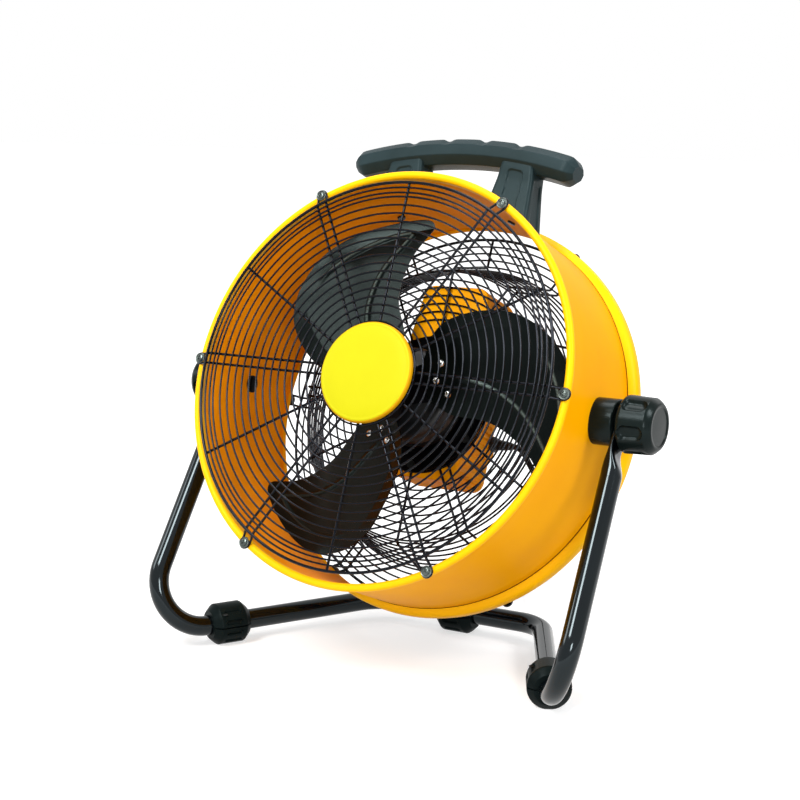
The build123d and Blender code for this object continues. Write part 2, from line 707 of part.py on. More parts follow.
def speed_switch():
    """The rotary switch behind the knob, on the rear wall of the box."""
    back = box_back - BOX_WALL
    switch = slab(Rectangle(SWITCH_SIZE, SWITCH_SIZE), back - SWITCH_DEPTH, back)
    stem = disc(STEM_RADIUS + PLAY, back - STEM_LENGTH - PLAY, back)
    return Pos(BOX_CENTRE, 0, SWITCH_HEIGHT) * (switch - stem)


def speed_knob():
    """The knob on the back of the box: a skirt, a grip bar across it, and its stem in the switch."""
    near = box_back + PLAY
    skirt = disc(SPEED_KNOB_RADIUS, near, near + SKIRT)
    bar = Circle(SPEED_KNOB_RADIUS - 2) & Rectangle(GRIP_WIDTH, 2 * SPEED_KNOB_RADIUS)
    grip = slab(bar, near + SKIRT, near + SPEED_KNOB)
    grip = chamfer(grip.faces().sort_by(Axis.Y)[-1].edges(), 1.2)
    stem = disc(STEM_RADIUS, box_back - BOX_WALL - STEM_LENGTH, near)
    return Pos(BOX_CENTRE, 0, SWITCH_HEIGHT) * (skirt + grip + stem)


def capacitor():
    """The motor's run capacitor, upright on the floor of the box."""
    can = Pos(BOX_CENTRE, box_front + BOX_BASE + CAPACITOR_RADIUS, CAPACITOR_HEIGHT)
    return can * Cylinder(CAPACITOR_RADIUS, CAPACITOR_LENGTH)


def cord_gland():
    """The sleeve that the mains cord leaves the box by: a flange on the wall and a long taper."""
    sleeve = across(GLAND_RADIUS, BULGE_REACH - GLAND_INSIDE, BULGE_REACH)
    sleeve += across(GLAND_FLANGE_RADIUS, BULGE_REACH, BULGE_REACH + GLAND_FLANGE)
    taper = Cone(GLAND_RADIUS, GLAND_TIP_RADIUS, GLAND_LENGTH - GLAND_FLANGE)
    sleeve += Pos(BULGE_REACH + (GLAND_LENGTH + GLAND_FLANGE) / 2, 0, 0) * Rot(0, 90, 0) * taper
    return Pos(0, GLAND_DEPTH, GLAND_HEIGHT) * sleeve


# ---- handle -------------------------------------------------------------------------------------------
def bar_height(x):
    """The middle line of the arched bar above the fan axis, at a place along it."""
    return handle_middle - HANDLE_ARCH_RADIUS + (HANDLE_ARCH_RADIUS**2 - x**2) ** 0.5


def grip_bar():
    """The arched bar with its finger notches."""
    end = HANDLE_LENGTH / 2
    arch = ThreePointArc((-end, 0, bar_height(end)), (0, 0, handle_middle), (end, 0, bar_height(end)))
    section = Plane(arch @ 0, x_dir=(0, 1, 0), z_dir=arch % 0)
    section = section * chamfer(Rectangle(HANDLE_DEPTH, HANDLE_THICKNESS).vertices(), HANDLE_CHAMFER)
    bar = sweep(section, arch)
    ends = bar.faces().sort_by(Axis.X)
    bar = chamfer(ends[0].edges() + ends[-1].edges(), HANDLE_END_CHAMFER)
    dip = Rot(90, 0, 0) * Cylinder(NOTCH_RADIUS, 2 * HANDLE_DEPTH)
    for number in range(NOTCHES):
        x = (number - (NOTCHES - 1) / 2) * NOTCH_PITCH
        bar -= Pos(x, 0, bar_height(x) + HANDLE_THICKNESS / 2 + NOTCH_RADIUS - NOTCH_DEPTH) * dip
    return bar


def handle():
    """The grip bar on two flared posts that sit on the drum."""
    outer_edge = POST_CENTRE + POST_FOOT_WIDTH / 2
    low = (SHELL_RADIUS**2 - outer_edge**2) ** 0.5 - 2
    foot = Plane.XY.offset(low) * RectangleRounded(POST_FOOT_WIDTH, POST_FOOT_DEPTH, 8)
    neck = Plane.XY.offset(bar_height(POST_CENTRE) - HANDLE_THICKNESS / 4)
    neck = neck * RectangleRounded(POST_WIDTH, HANDLE_DEPTH - 2 * HANDLE_CHAMFER + 6, 8)
    post = loft([foot, neck])
    posts = [Pos(x, 0, 0) * post for x in (-POST_CENTRE, POST_CENTRE)]
    return grip_bar() + posts - drum_bore(SHELL_RADIUS)


def handle_screws():
    """A screw up into each post, driven from inside the drum."""
    inside = SHELL_RADIUS - SHELL_SHEET
    head = Pos(0, 0, inside - SCREW_HEAD - WELD) * extrude(stud(SCREW_HEAD_RADIUS), SCREW_HEAD)
    shank = Pos(0, 0, inside - WELD) * extrude(stud(SCREW_SHANK_RADIUS), HANDLE_SCREW_LENGTH)
    screws = []
    for x in (-POST_CENTRE, POST_CENTRE):
        lean = degrees(asin(x / SHELL_RADIUS))
        screws.append(Rot(0, lean, 0) * (head + shank))
    return Compound(children=screws)


# ---- tilt pivots --------------------------------------------------------------------------------------
def bolt_way(end, play=BOLT_CLEARANCE):
    """The room that the right-hand tilt bolt needs, from inside the drum out to end."""
    return on_axis(across(PIVOT_BOLT_RADIUS + play, SHELL_RADIUS / 2, end))


def pivot_spacer():
    """The round boss between the drum wall and the stand's lug."""
    boss = on_axis(across(SPACER_RADIUS, SHELL_RADIUS - 8, lug_inner - PLAY))
    return boss - drum_bore(SHELL_RADIUS) - bolt_way(lug_inner)


def pivot_backing():
    """The washer inside the wall that spreads the bolt's load."""
    inside = SHELL_RADIUS - SHELL_SHEET
    washer = on_axis(across(BACKING_RADIUS, SHELL_RADIUS / 2, SHELL_RADIUS))
    return (washer & (drum_bore(inside) - drum_bore(inside - BACKING_SHEET))) - bolt_way(SHELL_RADIUS)


def pivot_bolt():
    """The tilt bolt: a chamfered head inside the drum and a shank that ends inside the knob."""
    low = BOLT_HEAD_RADIUS + AXIS_DROP  # the lowest part of the head touches the washer first
    seat = ((SHELL_RADIUS - SHELL_SHEET - BACKING_SHEET) ** 2 - low**2) ** 0.5
    head = across(BOLT_HEAD_RADIUS, seat - BOLT_HEAD, seat)
    head = chamfer(head.edges().sort_by(Axis.X)[0], BOLT_HEAD / 2)
    return on_axis(head + across(PIVOT_BOLT_RADIUS, seat, knob_outer - KNOB_CAP))


def clamp_knob():
    """The hand knob with six finger hollows round it and a sunk disc in its face."""
    knob = across(KNOB_RADIUS, knob_inner, knob_outer)
    knob = chamfer(knob.edges().sort_by(Axis.X)[-1], KNOB_CHAMFER)
    reach = KNOB_RADIUS + FINGER_RADIUS - FINGER_DEPTH
    groove = across(FINGER_RADIUS, knob_inner + KNOB_FLANGE, knob_outer + 1)
    for number in range(FINGERS):
        around = radians(30 + 360 / FINGERS * number)
        knob -= Pos(0, reach * cos(around), reach * sin(around)) * groove
    knob -= across(KNOB_DISC_RADIUS, knob_outer - 1, knob_outer + 1)
    return on_axis(knob) - bolt_way(knob_outer - KNOB_CAP + PLAY, PIVOT_FIT)


# ---- stand --------------------------------------------------------------------------------------------
tilt_axis = Vector(0, -AXIS_FRONT, -AXIS_DROP).rotate(Axis.X, -TILT)
arm_top = tilt_axis + Vector(arm_top_x, 0, 0)
arm = (Vector(*front_corner, TUBE_LEVEL) - arm_top).normalized()


def tube_path():
    """The centreline of the bent tube from the right arm round the back to the left arm."""
    start = arm_top + arm * (LUG_LENGTH + LUG_TRANSITION)
    right = [start, Vector(*front_corner, TUBE_LEVEL), Vector(*REAR_CORNER, TUBE_LEVEL)]
    left = [Vector(-point.X, point.Y, point.Z) for point in reversed(right)]
    return FilletPolyline(*right, *left, radius=[FRONT_BEND, REAR_BEND, REAR_BEND, FRONT_BEND])


def stand_lug():
    """The flattened end of the right arm, holed for the tilt bolt, and its change into the tube."""
    middle = tilt_axis + Vector(lug_inner + LUG_THICKNESS / 2, 0, 0)
    lean = degrees(atan2(arm.Y, -arm.Z))
    eye = SlotOverall(LUG_LENGTH + 2 * LUG_RADIUS, 2 * LUG_RADIUS, rotation=90)
    plate = extrude(Plane.YZ * Pos(0, -LUG_LENGTH / 2) * eye, LUG_THICKNESS / 2, both=True)
    flat = Plane(middle + arm * LUG_LENGTH, x_dir=(1, 0, 0), z_dir=arm)
    flat = flat * chamfer(Rectangle(LUG_THICKNESS, 2 * LUG_RADIUS).vertices(), LUG_THICKNESS / 4)
    round_end = arm_top + arm * (LUG_LENGTH + LUG_TRANSITION)
    round_end = Plane(round_end, x_dir=(1, 0, 0), z_dir=arm)
    throat = RegularPolygon(TUBE_RADIUS - LUG_STEP, 8, rotation=22.5)
    throat = loft([flat, round_end * throat], ruled=True)
    lug = Pos(middle) * Rot(lean, 0, 0) * plate + throat
    return lug - Pos(tilt_axis) * across(PIVOT_BOLT_RADIUS + PIVOT_FIT, lug_inner - 1, lug_outer + 1)


def stand_tube():
    """One bent tube with both ends flattened into lugs."""
    path = tube_path()
    start = Plane(path @ 0, z_dir=path % 0)
    tube = sweep(start * Circle(TUBE_RADIUS), path)
    bore = sweep(start * RegularPolygon(TUBE_RADIUS - TUBE_WALL, 8), path)
    lugs = left_and_right(stand_lug())
    return (tube - bore) + lugs[0] + lugs[1]


def foot_halves():
    """The upper and lower shell of a foot round a tube along X."""
    foot = across(FOOT_RADIUS, -FOOT_LENGTH / 2, FOOT_LENGTH / 2)
    ends = foot.edges().filter_by(GeomType.CIRCLE)
    foot = chamfer(ends, FOOT_CHAMFER) - across(TUBE_RADIUS + FOOT_FIT, -FOOT_LENGTH, FOOT_LENGTH)
    size = 2 * FOOT_LENGTH
    above = Pos(0, 0, size / 2 + FOOT_SPLIT / 2) * Box(size, size, size)
    depth = FOOT_RADIUS - FOOT_FLAT - FOOT_SPLIT / 2
    below = Pos(0, 0, -depth / 2 - FOOT_SPLIT / 2) * Box(size, size, depth)
    shank = Sketch() + [Pos(x, y) * stud(FOOT_SCREW_RADIUS) for x, y in foot_screw_spots()]
    seat = Sketch() + [Pos(x, y) * stud(FOOT_SCREW_HEAD_RADIUS + PLAY) for x, y in foot_screw_spots()]
    foot -= Pos(0, 0, -FOOT_SCREW_SEAT) * extrude(shank, 2 * FOOT_SCREW_SEAT)
    foot -= Pos(0, 0, FOOT_SCREW_SEAT) * extrude(seat, FOOT_RADIUS)
    return foot & above, foot & below


def foot_screw_spots():
    """Two screws, one on each side of the tube, set crosswise."""
    half = FOOT_SCREW_SPACING / 2
    return [(half, FOOT_SCREW_OFFSET), (-half, -FOOT_SCREW_OFFSET)]


def foot_places():
    """Where the right, left and rear feet go, by name."""
    along = degrees(atan2(REAR_CORNER[1] - front_corner[1], REAR_CORNER[0] - front_corner[0]))
    x, y = [a + (b - a) * FRONT_FOOT_SHARE for a, b in zip(front_corner, REAR_CORNER)]
    return {
        "right": Pos(x, y, TUBE_LEVEL) * Rot(0, 0, along),
        "left": Pos(-x, y, TUBE_LEVEL) * Rot(0, 0, -along),
        "rear": Pos(0, REAR_CORNER[1], TUBE_LEVEL),
    }


def foot_screws():
    """The six screws of the feet, sunk in the upper shells."""
    head = Pos(0, 0, FOOT_SCREW_SEAT) * extrude(stud(FOOT_SCREW_HEAD_RADIUS), 3)
    shank = Pos(0, 0, -FOOT_SCREW_SEAT) * extrude(stud(FOOT_SCREW_RADIUS), 2 * FOOT_SCREW_SEAT)
    screws = []
    for place in foot_places().values():
        screws += [place * Pos(x, y, 0) * (head + shank) for x, y in foot_screw_spots()]
    return Compound(children=screws)


# ---- mains cord ---------------------------------------------------------------------------------------
def cord_tube(points):
    """A round cord through the points, with each bend as wide as its two runs allow."""
    runs = [(b - a).length for a, b in zip(points, points[1:])]
    turns = [(b - a).get_angle(c - b) for a, b, c in zip(points, points[1:], points[2:])]
    shorter = [min(pair) for pair in zip(runs, runs[1:])]
    radii = [0.45 * run / tan(radians(turn) / 2) for run, turn in zip(shorter, turns)]
    print("cord runs", [round(run) for run in runs], "radii", [round(radius) for radius in radii])
    path = FilletPolyline(*points, radius=radii)
    section = RegularPolygon(CORD_RADIUS, 12)
    tube = sweep(Plane(path @ 0, z_dir=path % 0) * section, path)
    share = section.area * path.length / tube.volume
    print("cord length", round(path.length), "section times length over volume", round(share, 4))
    return tube


def mains_cord():
    """The cord from the gland, down behind the drum, to the coil on the floor."""
    mouth = Vector(BULGE_REACH + GLAND_LENGTH, GLAND_DEPTH, GLAND_HEIGHT).rotate(Axis.X, -TILT)
    side = COIL_CENTRE[0] + COIL_RADIUS + 2 * CORD_RADIUS
    end = Vector(side, COIL_CENTRE[1], CORD_ROUTE[-1][2])
    lead = mouth + Vector(CORD_LEAD, 0, 0)
    return cord_tube([mouth, lead] + [Vector(*point) for point in CORD_ROUTE] + [end])


def cord_coil():
    """The outer shape of the tied coil that takes up the rest of the cord."""
    face = Circle(COIL_RADIUS + COIL_WIDTH / 2) - Circle(COIL_RADIUS - COIL_WIDTH / 2)
    return Pos(*COIL_CENTRE, FLOOR + TIE_SHEET) * extrude(face, COIL_HEIGHT)


def cord_tie():
    """The strap round the coil."""
    room = Rectangle(COIL_WIDTH + 2, COIL_HEIGHT)
    strap = offset(room, TIE_SHEET) - room
    middle = Pos(COIL_CENTRE[0], COIL_CENTRE[1] - COIL_RADIUS, FLOOR + TIE_SHEET + COIL_HEIGHT / 2)
    return middle * extrude(Plane.YZ * strap, TIE_WIDTH / 2, both=True)


def plug_place():
    """Where the cord enters the plug, looking out of it along X."""
    y = COIL_CENTRE[1] + COIL_RADIUS + 2 * CORD_RADIUS
    return COIL_CENTRE[0] - TAIL_LENGTH, y, FLOOR + PLUG_HEIGHT / 2


def cord_tail():
    """The end of the cord between the coil and the plug."""
    x, y, z = plug_place()
    return Pos(0, y, z) * across(CORD_RADIUS, x, COIL_CENTRE[0])


def mains_plug():
    """A plain moulded plug on the floor."""
    x, y, z = plug_place()
    body = Pos(x - PLUG_LENGTH / 2, y, z) * Box(PLUG_LENGTH, PLUG_WIDTH, PLUG_HEIGHT)
    return chamfer(body.edges().filter_by(Axis.X), 4)


def plug_pins():
    """Two round pins."""
    x, y, z = plug_place()
    pin = across(PIN_RADIUS, x - PLUG_LENGTH - PIN_LENGTH, x - PLUG_LENGTH)
    return Compound(children=[Pos(0, y + side * PIN_SPACING / 2, z) * pin for side in (-1, 1)])


# ---- every piece by name ------------------------------------------------------------------------------
def drum_parts():
    """The pieces that lean with the drum, drawn square to it."""
    parts = {
        "drum_shell": drum_shell(),
        "front_grille": front_grille(),
        "front_grille_screws": grille_screws(SHELL_FRONT - HAIRPIN_WIRE, -1),
        "front_badge": front_badge(),
        "rear_grille": rear_grille(),
        "rear_grille_screws": grille_screws(SHELL_BACK + HAIRPIN_WIRE, 1),
        "motor_plate": motor_plate(),
        "motor_plate_screws": plate_screws(),
        "motor_mounting_ring": mounting_ring(),
        "motor_front_bell": motor_bell(motor_front + BELL_LENGTH, motor_front),
        "motor_rear_bell": motor_bell(plate_front - BELL_LENGTH, plate_front),
        "front_bearing": bearing(motor_front, 1),
        "rear_bearing": bearing(plate_front, -1),
        "motor_stator": stator(),
        "motor_windings": windings(),
        "motor_bolts": motor_bolts(),
        "motor_shaft": motor_shaft(),
        "rotor_core": rotor_core(),
        "hub_spider": hub_spider(),
        "blade_rivets": blade_rivets(),
        "hub_nut": hub_nut(),
        "control_box": control_box(),
        "control_box_base": control_box_base(),
        "control_box_screws": control_box_screws(),
        "speed_switch": speed_switch(),
        "speed_knob": speed_knob(),
        "run_capacitor": capacitor(),
        "cord_gland": cord_gland(),
        "handle": handle(),
        "handle_screws": handle_screws(),
    }
    for number in range(BLADES):
        parts[f"blade_{number + 1}"] = blade(number)
    pairs = {
        "pivot_spacer": pivot_spacer(),
        "pivot_backing": pivot_backing(),
        "pivot_bolt": pivot_bolt(),
        "knob": clamp_knob(),
    }
    for name, shape in pairs.items():
        parts[f"left_{name}"], parts[f"right_{name}"] = left_and_right(shape)
    return parts


def stand_parts():
    """The pieces that stay on the floor, with their places from the tilt axis."""
    parts = {"stand_tube": stand_tube(), "foot_screws": foot_screws()}
    upper, lower = foot_halves()
    for side, place in foot_places().items():
        parts[f"{side}_foot_upper"] = place * upper
        parts[f"{side}_foot_lower"] = place * lower
    parts["mains_cord"] = mains_cord()
    parts["cord_coil"] = cord_coil()
    parts["cord_tie"] = cord_tie()
    parts["cord_tail"] = cord_tail()
    parts["mains_plug"] = mains_plug()
    parts["plug_pins"] = plug_pins()
    return parts


os.makedirs("parts", exist_ok=True)
hung = Pos(0, DRUM_BACK, DRUM_HEIGHT)
for name, shape in stand_parts().items():
    export_step(hung * shape, f"parts/{name}.step")
for name, shape in drum_parts().items():
    export_step(hung * Rot(-TILT, 0, 0) * shape, f"parts/{name}.step")
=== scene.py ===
# %% [markdown]
# # A drum fan in a bent tube stand
# A steel drum with wire grilles hangs between two hand knobs in a stand made of one bent tube.
# The CAD model gives the frame: every piece here is drawn at the same place as its CAD node. What
# Blender adds is the fine shape, the finish and the light.

# %% Load the CAD frame
import json
import math

import bmesh
import bpy
import numpy as np
from mathutils import Matrix, Vector


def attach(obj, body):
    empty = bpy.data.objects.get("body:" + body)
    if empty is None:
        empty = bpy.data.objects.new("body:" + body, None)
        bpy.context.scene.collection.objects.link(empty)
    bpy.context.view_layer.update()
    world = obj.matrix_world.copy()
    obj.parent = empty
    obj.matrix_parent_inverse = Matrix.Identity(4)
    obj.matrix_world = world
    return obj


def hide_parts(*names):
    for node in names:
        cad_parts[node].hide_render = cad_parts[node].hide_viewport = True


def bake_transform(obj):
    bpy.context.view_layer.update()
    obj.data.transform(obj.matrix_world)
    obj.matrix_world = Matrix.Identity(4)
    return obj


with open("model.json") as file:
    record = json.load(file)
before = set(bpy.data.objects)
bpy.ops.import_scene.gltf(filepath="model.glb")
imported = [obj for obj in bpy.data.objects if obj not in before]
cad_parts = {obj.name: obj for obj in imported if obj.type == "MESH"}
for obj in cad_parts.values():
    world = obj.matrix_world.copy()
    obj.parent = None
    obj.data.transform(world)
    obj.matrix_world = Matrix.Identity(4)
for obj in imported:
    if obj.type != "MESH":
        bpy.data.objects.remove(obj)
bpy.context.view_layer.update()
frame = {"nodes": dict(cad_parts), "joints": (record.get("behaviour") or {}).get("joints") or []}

# %% [markdown]
# ## Three places to draw in
# The drum leans back on its tilt axis. It is easier to draw its pieces square, in millimetres, with
# the fan axis along Y and the front towards -Y, and to lean them afterwards. Stand pieces are drawn
# upright from the same origin. The tilt axis runs a little in front of and below that origin, so
# bosses, bolts and knobs get a third place. The joints of the frame say where all three are.

# %% Where drum, stand and knob pieces go
joints = {joint["name"]: joint for joint in frame["joints"]}
fan_place, fan_axis = Vector(joints["fan_spin"]["pos_m"]), joints["fan_spin"]["axis"]
TILT = math.atan2(-fan_axis[2], fan_axis[1])
FLOOR = -1000 * joints["fan_spin"]["pos_m"][2]
MILLIMETRES = Matrix.Scale(0.001, 4)
ON_STAND = Matrix.Translation(fan_place) @ MILLIMETRES
ON_DRUM = Matrix.Translation(fan_place) @ Matrix.Rotation(-TILT, 4, "X") @ MILLIMETRES
to_drum = ON_DRUM.inverted()
tilt_place = to_drum @ Vector(joints["drum_tilt"]["pos_m"])
AXIS_FRONT, AXIS_DROP = -round(tilt_place.y, 2), -round(tilt_place.z, 2)
ON_AXIS = ON_DRUM @ Matrix.Translation((0, -AXIS_FRONT, -AXIS_DROP))
print("leaned back", round(math.degrees(TILT), 2), "degrees, floor at", FLOOR)

# %% [markdown]
# ## The camera
# The photograph is taken from in front and to the right, a little above the fan, with a long lens.
# The camera comes first, so that each piece can be compared with the photograph as it is made.
# It is aimed by two angles: a turn about the upright, then a look down.

# %% Camera
HEADING, LOOK_DOWN = math.radians(31.393), math.radians(10.0475)
CAMERA_PLACE = (1.08822, -1.81693, 0.68263)
lens = bpy.data.cameras.new("camera")
lens.lens, lens.sensor_width = 82.894, 36
camera = bpy.data.objects.new("camera", lens)
aim = Matrix.Rotation(HEADING, 4, "Z") @ Matrix.Rotation(math.radians(90) - LOOK_DOWN, 4, "X")
camera.matrix_world = Matrix.Translation(CAMERA_PLACE) @ aim
bpy.context.scene.collection.objects.link(camera)
bpy.context.scene.camera = camera
print("camera stands", round(Vector(CAMERA_PLACE).length, 2), "m from the frame's origin")

# %% [markdown]
# ## Helpers for meshes
# Nearly every piece is a grid of points that is bent round something: a wire is a circle carried
# along a path, a turned piece is an outline carried round an axis. So there is one grid function,
# and the others only work out its points. Points are kept in numpy arrays, which is quick.


# %% A grid of points, and pieces joined from several
def grid(points, around=False, closed=False):
    """Quads over an (n, m, 3) array of points, joined up across m (around) or across n (closed)."""
    index = np.arange(points.shape[0] * points.shape[1]).reshape(points.shape[:2])
    if closed:
        index = np.vstack([index, index[:1]])
    if around:
        index = np.hstack([index, index[:, :1]])
    corners = [index[:-1, :-1], index[:-1, 1:], index[1:, 1:], index[1:, :-1]]
    return points.reshape(-1, 3), np.stack(corners, -1).reshape(-1, 4).tolist()


def capped_grid(rows):
    """A grid of rings, one a row, with a flat face on the first and on the last ring."""
    points, faces = grid(np.array(rows), around=True)
    count = len(rows[0])
    return points, faces + [list(range(count)), list(range(len(points) - count, len(points)))]


def joined(*parts):
    """Several (points, faces) parts as one."""
    points, faces, base = [], [], 0
    for part_points, part_faces in parts:
        points.append(np.asarray(part_points, float))
        faces += [[i + base for i in face] for face in part_faces]
        base += len(part_points)
    return np.vstack(points), faces


print("a grid of 3 by 4 points has", len(grid(np.zeros((3, 4, 3)))[1]), "quads")

# %% [markdown]
# The fan is full of repeats and of left and right pairs. A part is drawn once, and then moved,
# turned about the fan axis, or mirrored.


# %% Moved, turned and mirrored copies
def moved(part, matrix):
    """A part turned and moved by a matrix."""
    m = np.array(matrix, float)
    return np.asarray(part[0], float) @ m[:3, :3].T + m[:3, 3], part[1]


def at_angle(part, degrees):
    """A part turned about the fan axis, counter-clockwise as seen from the front."""
    return moved(part, Matrix.Rotation(-math.radians(degrees), 4, "Y"))


def mirrored(part):
    """The left-hand copy of a right-hand part."""
    return np.asarray(part[0], float) * (-1, 1, 1), part[1]


def swapped(part):
    """A part turned about Y, stood up to point along Z."""
    return part[0][:, [0, 2, 1]], part[1]


quarter = at_angle(([(1, 0, 0)], []), 90)[0][0]
print("a quarter turn takes X to", [round(float(v)) for v in quarter])

# %% [markdown]
# Shell, badge, bells, bolts and bosses are round about an axis, as if made on a lathe. Each needs
# only half of its outline. An arc gives the outline its rounded edges.


# %% Turned pieces
def arc(centre, radius, start, end, steps=10):
    """Points on an arc in a flat outline, from start to end in degrees."""
    angles = np.radians(np.linspace(start, end, steps))
    return [(centre[0] + radius * math.cos(a), centre[1] + radius * math.sin(a)) for a in angles]


def turned(profile, steps=128, closed=True):
    """A (radius, depth) outline carried round the fan axis."""
    radius, depth = np.array(profile, float).T
    angle = np.linspace(0, 2 * math.pi, steps, endpoint=False)[:, None]
    rings = [np.cos(angle) * radius, np.ones_like(angle) * depth, np.sin(angle) * radius]
    points = np.stack(rings, -1)
    if closed:
        points = np.concatenate([points, points[:, :1]], 1)
    return grid(points, closed=True)


def turned_across(profile, steps=96):
    """A (radius, x) outline carried round the tilt axis."""
    points, faces = turned(profile, steps)
    return points[:, [1, 0, 2]], faces


print("a ring of 8 steps has", len(turned([(1, 0), (2, 0), (2, 1)], 8)[1]), "quads")

# %% [markdown]
# A rod or a tube is straight between its bends, and its maker knows the corners and the bend radii.
# The line is worked out the same way: straight runs, and at each corner an arc that touches both.


# %% The line of a bent rod
def unit(vector):
    return vector / np.linalg.norm(vector)


def bent(corners, radii, steps=10):
    """The line of a rod through the corners, with a round bend at each inner one."""
    corners = [np.array(c, float) for c in corners]
    path = [corners[0]]
    for before, corner, after, radius in zip(corners, corners[1:], corners[2:], radii):
        u, v = unit(before - corner), unit(after - corner)
        half = math.acos(max(-1, min(1, u @ v))) / 2
        centre = corner + unit(u + v) * radius / math.sin(half)
        start, end = [corner + w * radius / math.tan(half) - centre for w in (u, v)]
        sweep = math.pi - 2 * half
        for k in range(steps + 1):
            share = k / steps
            mix = math.sin((1 - share) * sweep) * start + math.sin(share * sweep) * end
            path.append(centre + mix / math.sin(sweep))
    return np.array(path + [corners[-1]])


def length_of(path):
    return float(np.linalg.norm(np.diff(path, axis=0), axis=1).sum())


print("an elbow of 9 by 9 is", round(length_of(bent([(0, 0), (9, 0), (9, 9)], [4])), 2), "long")

# %% [markdown]
# Wire, cord and tube are a circle carried along such a line. The two directions across the line are
# handed on from point to point, each made square to the new direction, so the skin doesn't twist.


# %% Wires
def carried(path, closed=False):
    """Two directions across the path at each of its points, without twist."""
    if closed:
        along = np.roll(path, -1, 0) - np.roll(path, 1, 0)
    else:
        along = np.gradient(path, axis=0)
    along /= np.linalg.norm(along, axis=1)[:, None]
    off_axis = (0.31, 0.17, 0.93)
    sides = [unit(np.cross(along[0], off_axis))]
    for direction in along[1:]:
        sides.append(unit(sides[-1] - direction * (sides[-1] @ direction)))
    sides = np.array(sides)
    return sides, np.cross(along, sides)


def wire(path, radius, sides=10, closed=False):
    """A round wire along a path; radius is one number or one for each point."""
    path = np.asarray(path, float)
    across, up = carried(path, closed)
    angle = np.linspace(0, 2 * math.pi, sides, endpoint=False)[None, :, None]
    section = np.cos(angle) * across[:, None] + np.sin(angle) * up[:, None]
    width = np.broadcast_to(radius, len(path))[:, None, None]
    rings = path[:, None] + section * width
    return grid(rings, around=True, closed=True) if closed else capped_grid(rings)


print("a straight wire has", len(wire([(0, 0, 0), (0, 0, 1), (0, 0, 2)], 0.1)[1]), "faces")

# %% [markdown]
# Moulded and cast shapes have no hard steps. One soft step between 0 and 1 shapes every groove,
# panel and flare below.


# %% A soft step, and round corners
def smooth_step(value, start, end):
    """0 before start, 1 after end, and a soft rise between them."""
    t = np.clip((value - start) / (end - start), 0, 1)
    return t * t * (3 - 2 * t)


def round_corners(wide, high, corner, steps):
    """The four round corners of a rectangle in order, each a list of points."""
    bends = []
    for x, y, start in ((1, 1, 0), (-1, 1, 90), (-1, -1, 180), (1, -1, 270)):
        middle = (x * (wide / 2 - corner), y * (high / 2 - corner))
        bends.append(arc(middle, corner, start, start + 90, steps))
    return bends


print("soft step at a quarter:", smooth_step(0.25, 0, 1))

# %% [markdown]
# A part becomes a Blender object in one place. The points are turned into metres there, double
# points are welded, normals are made to point out, and only edges sharper than an angle stay crisp.
# A bevel, where one is asked for, rounds those edges so that they catch a line of light.

# %% From a part to a Blender object
WELD_DISTANCE = 2e-6


def piece(name, part, body, finish, place, replaces=(), sharp=38, bevel=0):
    """An object from a part: it rides on a body, and stands for the CAD nodes it replaces."""
    points, faces = moved(part, place)
    mesh = bpy.data.meshes.new(name)
    mesh.from_pydata(points.tolist(), [], faces)
    work = bmesh.new()
    work.from_mesh(mesh)
    bmesh.ops.remove_doubles(work, verts=work.verts, dist=WELD_DISTANCE)
    bmesh.ops.recalc_face_normals(work, faces=work.faces)
    work.to_mesh(mesh)
    work.free()
    mesh.polygons.foreach_set("use_smooth", [True] * len(mesh.polygons))
    mesh.set_sharp_from_angle(angle=math.radians(sharp))
    for one in finish if isinstance(finish, (list, tuple)) else [finish]:
        mesh.materials.append(one)
    thing = bpy.data.objects.new(name, mesh)
    bpy.context.scene.collection.objects.link(thing)
    if bevel:
        rounding = thing.modifiers.new("rounding", "BEVEL")
        rounding.width, rounding.segments = bevel * 0.001, 3
        rounding.limit_method, rounding.angle_limit = "ANGLE", math.radians(sharp)
        rounding.harden_normals = True
    if body:
        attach(thing, body)
    if replaces:
        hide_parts(*replaces)
    return thing


print("double points are welded below", WELD_DISTANCE, "m")

# %% [markdown]
# ## Finishes
# A photographed surface is never one flat colour. Each finish below is a Principled shader whose
# colour, roughness and bump are stirred by noise in object space, so the same paint looks the same
# on every piece and needs no unwrapping. Colours are picked as on a screen, from 0 to 255, and
# turned into the linear light that the shader works with.


# %% A finish from noise
def srgb(red, green, blue):
    """A colour picked as 0 to 255 screen values, as the light that Blender works with."""
    scaled = [v / 255 for v in (red, green, blue)]
    return [v / 12.92 if v <= 0.04045 else ((v + 0.055) / 1.055) ** 2.4 for v in scaled]


def noise(nodes, scale, detail):
    cloud = nodes.new("ShaderNodeTexNoise")
    cloud.inputs["Scale"].default_value, cloud.inputs["Detail"].default_value = scale, detail
    return cloud


